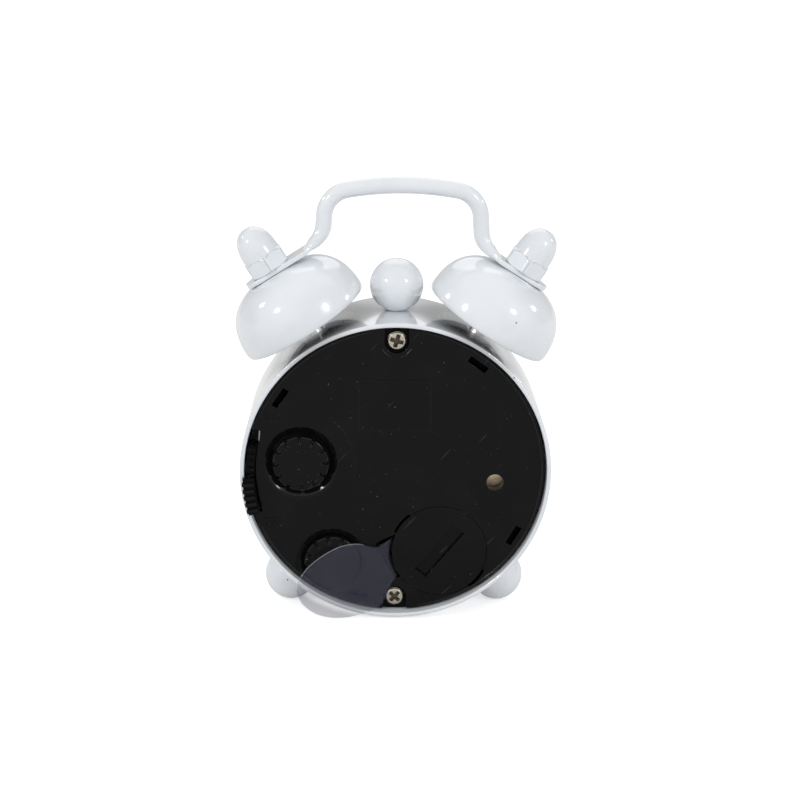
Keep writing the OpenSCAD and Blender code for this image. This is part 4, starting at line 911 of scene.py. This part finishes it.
# Pull tab: a rounded lobe over the back whose neck dives under the battery cover
film = {"bend": (1.062, 7.15, -12.854), "heading": -25.8, "rise": 10.3, "drop": 1.49, "run": 0.45,
        "thick": 0.12, "reach": 14, "span": (-13, 13.5, 2000), "soft": 41, "edge": 0.007, "lid": 6.5,
        "side": 1.9, "fold": (2.2, 0.4), "dip": 0.16, "dipIn": (1.5, 5), "dipOut": (9, 5.5),
        "rows": 150, "cols": 40,
        "upper": [(-11.0, 2.7), (-5.0, 2.7), (-0.6, 2.6), (0.6, 2.55), (2.5, 4.1), (4.6, 4.85), (7.0, 4.98),
                  (9.5, 4.6), (11.4, 3.75), (12.6, 2.6), (13.0, 1.7), (13.1, 1.0)],
        "lower": [(-11.0, -2.7), (-5.0, -2.7), (-0.6, -2.75), (0.5, -3.05), (1.7, -3.9), (3.2, -5.2),
                  (5.0, -5.55), (7.0, -5.2), (9.2, -4.35), (11.0, -3.2), (12.3, -1.75), (13.0, -0.1),
                  (13.1, 1.0)]}


def filmShape(f):
    # rows join the lower to the upper edge; along them the height follows a path of flat end, ramp and rising
    # lobe, and the ramp lies further in where the lid's round edge does
    up, low = smoothPath(f["upper"], f["rows"]), smoothPath(f["lower"], f["rows"])
    v = np.concatenate([[0], np.linspace(f["edge"], 1 - f["edge"], f["cols"]), [1]])[None, :, None]
    p = low[:, None] * (1 - v) + up[:, None] * v
    along, across = p[..., 0], p[..., 1]
    ramp, rise, reach = math.hypot(f["run"], f["drop"]), math.radians(f["rise"]), f["reach"]
    knots = np.array([-reach, -ramp, 0, reach])
    pathX = np.array([ramp - reach - f["run"], -f["run"], 0, reach * math.cos(rise)])
    pathY = np.array([-f["drop"], -f["drop"], 0, reach * math.sin(rise)])
    a = np.linspace(*f["span"])
    kernel = np.hanning(f["soft"]) / np.hanning(f["soft"]).sum()

    def softly(path):
        # the path through the knots, averaged under a bell-shaped window
        padded = np.pad(np.interp(a, knots, path), f["soft"] // 2, mode="reflect", reflect_type="odd")
        return np.convolve(padded, kernel, "valid")

    # how far the lid's edge has fallen back here; the root is held at 1 past the lid's side
    over = f["lid"] - np.sqrt(np.maximum(f["lid"] ** 2 - (across + f["side"]) ** 2, 1))
    over = over * ease(*f["fold"], along)
    q, y = np.interp(along + over, a, softly(pathX)) - over, np.interp(along + over, a, softly(pathY))
    y = y - f["dip"] * ease(*f["dipIn"], along) * ease(*f["dipOut"], along)
    c, s = math.cos(math.radians(f["heading"])), math.sin(math.radians(f["heading"]))
    x0, y0, z0 = f["bend"]
    return np.stack([x0 + q * c - across * s, y0 - f["thick"] / 2 + y, axisZ + z0 + q * s + across * c], -1)


filmGrid = filmShape(film)
# cells along the film's upper edge past the neck take the painted highlight
highlightCells = np.zeros(filmGrid.shape[:2], int)
highlightCells[len(highlightCells) // 3:, -2] = 1    # the upper edge shines past the neck
tab = piece("pullTabFilm", [grid(filmGrid, closeCols=False, finish=highlightCells)], "pull_tab",
            [finishes["clear_film"], filmEdgeHighlight], ["pull_tab"], sharp=60)
solid = tab.modifiers.new("sheet", "SOLIDIFY")
solid.thickness = film["thick"] * mm
solid.offset = 0
print("back, lid, slider and film made")

# Dial: printed numerals and minute track, generic because the photo shows only the back
dial = {"numerals": 12.6, "size": 3.1, "track": 15.9, "long": 1.5, "short": 0.8, "heavy": 0.22, "fine": 0.1,
        "sink": 0.005, "ink": 0.03}
inkY = dialFront - dial["sink"]
shapes = []
for hour in range(1, 13):
    way = math.radians(30 * hour)
    centre = np.array([math.sin(way), math.cos(way)]) * dial["numerals"]
    shapes.append(placedText(str(hour), dial["size"], onFace(centre, inkY, 1)))
inkPiece("dialNumerals", shapes, "case", dialInk, dial["ink"])


def minuteTrack(d):
    # sixty radial bars, longer and wider every fifth
    i = np.arange(60)
    t = np.radians(6 * i)
    five = i % 5 == 0
    length, half = np.where(five, d["long"], d["short"]), np.where(five, d["heavy"], d["fine"])
    out, across = np.stack([np.sin(t), np.cos(t)], -1), np.stack([np.cos(t), -np.sin(t)], -1)
    inner, outer = out * (d["track"] - length / 2)[:, None], out * (d["track"] + length / 2)[:, None]
    side = across * half[:, None]
    flat = np.stack([inner - side, inner + side, outer + side, outer - side], 1).reshape(-1, 2)
    return onFace((0, 0), inkY, 1)(flat), [tuple(range(k, k + 4)) for k in range(0, len(flat), 4)]


inkPiece("minuteTrack", [minuteTrack(dial)], "case", dialInk, dial["ink"])
print("dial printed")

# Camera at the photo's place: it looks at the back from a little above
view = {"pitch": 0.30114, "turn": 0.01807, "roll": -0.0105, "away": 205.0, "right": 0.579, "up": 10.10,
        "lens": 68.516, "sensor": 36, "clip": (0.005, 20)}


def placeCamera(v):
    # back points from the clock to the camera by turn and pitch; roll turns right and up about it
    s, c, sp, cp = math.sin(v["turn"]), math.cos(v["turn"]), math.sin(v["pitch"]), math.cos(v["pitch"])
    right, up = np.array([-c, s, 0]), np.array([-sp * s, -sp * c, cp])
    back = np.array([s * cp, c * cp, sp])
    across = right * math.cos(v["roll"]) - up * math.sin(v["roll"])
    upright = right * math.sin(v["roll"]) + up * math.cos(v["roll"])
    at = np.array([0, rearY, axisZ]) + v["right"] * across + v["up"] * upright + v["away"] * back
    data = bpy.data.cameras.new("camera")
    data.lens = v["lens"]
    data.sensor_width = v["sensor"]
    data.clip_start, data.clip_end = v["clip"]
    camera = bpy.data.objects.new("camera", data)
    bpy.context.scene.collection.objects.link(camera)
    matrix = np.eye(4)
    matrix[:3, 0], matrix[:3, 1], matrix[:3, 2], matrix[:3, 3] = across, upright, back, at * mm
    camera.matrix_world = Matrix(matrix.tolist())
    bpy.context.scene.camera = camera


placeCamera(view)

# Light: a pale even room, four small lamps that give the enamel its hard spots and a wide one for the front
lamps = [
    {"turn": 51, "rise": 27, "away": 0.6, "size": 0.075, "power": 0.72},
    {"turn": -45, "rise": 27, "away": 0.6, "size": 0.075, "power": 0.72},
    {"turn": 97, "rise": 28, "away": 0.6, "size": 0.07, "power": 0.25},
    {"turn": -98, "rise": 24, "away": 0.6, "size": 0.07, "power": 0.25},
    {"turn": 180, "rise": 40, "away": 1.0, "size": 0.9, "power": 1.2},
]
room = {"ambient": 0.62, "dim": 0.45, "cut": 0.42, "far": (0.45, -0.25), "low": (0.9, 0.4), "floor": 0.7,
        "glow": 0.6, "matt": 0.9, "half": 6.0}


def placeLamp(index, lamp):
    # a disc lamp that faces the drum's axis from a turn about it and a rise over it
    a, e = math.radians(lamp["turn"]), math.radians(lamp["rise"])
    way = np.array([math.sin(a) * math.cos(e), math.cos(a) * math.cos(e), math.sin(e)])
    data = bpy.data.lights.new(f"lamp{index}", "AREA")
    data.shape = "DISK"
    data.size = lamp["size"]
    data.energy = lamp["power"]
    made = bpy.data.objects.new(f"lamp{index}", data)
    bpy.context.scene.collection.objects.link(made)
    side = np.cross([0, 0, 1], way)
    side = side / np.linalg.norm(side)
    matrix = np.eye(4)
    matrix[:3, 0], matrix[:3, 1], matrix[:3, 2] = side, np.cross(way, side), way
    matrix[:3, 3] = np.array([0, 0, axisZ * mm]) + way * lamp["away"]
    made.matrix_world = Matrix(matrix.tolist())


for index, lamp in enumerate(lamps):
    placeLamp(index, lamp)


def combine(tree, operation, first, second):
    # one number worked out from two sockets
    made = add(tree, "ShaderNodeMath", operation=operation)
    tree.links.new(first, made.inputs[0])
    tree.links.new(second, made.inputs[1])
    return made.outputs[0]


def rayKinds(tree):
    # 1 for glossy and transmission rays, and 1 for these and camera rays
    path = add(tree, "ShaderNodeLightPath").outputs
    shiny = combine(tree, "MAXIMUM", path["Is Glossy Ray"], path["Is Transmission Ray"])
    return shiny, combine(tree, "MAXIMUM", path["Is Camera Ray"], shiny)


def farDim(tree, r, shiny):
    # what reflections lose low on the room's far side: a step along y times a step down from above
    parts = add(tree, "ShaderNodeSeparateXYZ")
    tree.links.new(add(tree, "ShaderNodeTexCoord").outputs["Generated"], parts.inputs[0])
    steps = []
    for axis, (start, stop), most in (("Y", r["far"], r["dim"]), ("Z", r["low"], 1.0)):
        step = add(tree, "ShaderNodeMapRange", interpolation_type="SMOOTHSTEP",
                   in_From_Min=start, in_From_Max=stop, in_To_Max=most)
        tree.links.new(parts.outputs[axis], step.inputs["Value"])
        steps.append(step.outputs["Result"])
    return combine(tree, "MULTIPLY", combine(tree, "MULTIPLY", *steps), shiny)


def makeRoom(r):
    # white to the camera and to reflections, less what these lose far and low; dimmer as light on the clock
    world = bpy.data.worlds.new("room")
    bpy.context.scene.world = world
    world.use_nodes = True
    tree = world.node_tree
    sky = tree.nodes["Background"]
    sky.inputs["Color"].default_value = (1, 1, 1, 1)
    shiny, seen = rayKinds(tree)
    strength = add(tree, "ShaderNodeMath", operation="SUBTRACT")
    rangeTo(tree, seen, r["ambient"], 1.0, strength.inputs[0])
    tree.links.new(farDim(tree, r, shiny), strength.inputs[1])
    tree.links.new(strength.outputs[0], sky.inputs["Strength"])


def makeFloor(r):
    # a matt square that glows a little for the camera, and less for reflections
    finish, tree, shader = shaderNodes("paleFloor")
    shader.inputs["Base Color"].default_value = (r["floor"],) * 3 + (1,)
    shader.inputs["Roughness"].default_value = r["matt"]
    shader.inputs["Specular IOR Level"].default_value = 0.0
    shader.inputs["Emission Color"].default_value = (1, 1, 1, 1)
    shiny, seen = rayKinds(tree)
    glow = add(tree, "ShaderNodeMath", operation="MULTIPLY_ADD")
    glow.inputs[1].default_value = -r["cut"]
    tree.links.new(shiny, glow.inputs[0])
    rangeTo(tree, seen, 0.0, r["glow"], glow.inputs[2])
    tree.links.new(glow.outputs[0], shader.inputs["Emission Strength"])
    half = r["half"]
    mesh = bpy.data.meshes.new("floor")
    corners = [(-half, -half, 0), (half, -half, 0), (half, half, 0), (-half, half, 0)]
    mesh.from_pydata(corners, [], [(0, 1, 2, 3)])
    mesh.materials.append(finish)
    floor = bpy.data.objects.new("floor", mesh)
    bpy.context.scene.collection.objects.link(floor)


makeRoom(room)
makeFloor(room)
bpy.context.scene.view_settings.view_transform = "Standard"
print("camera, lamps and room set")
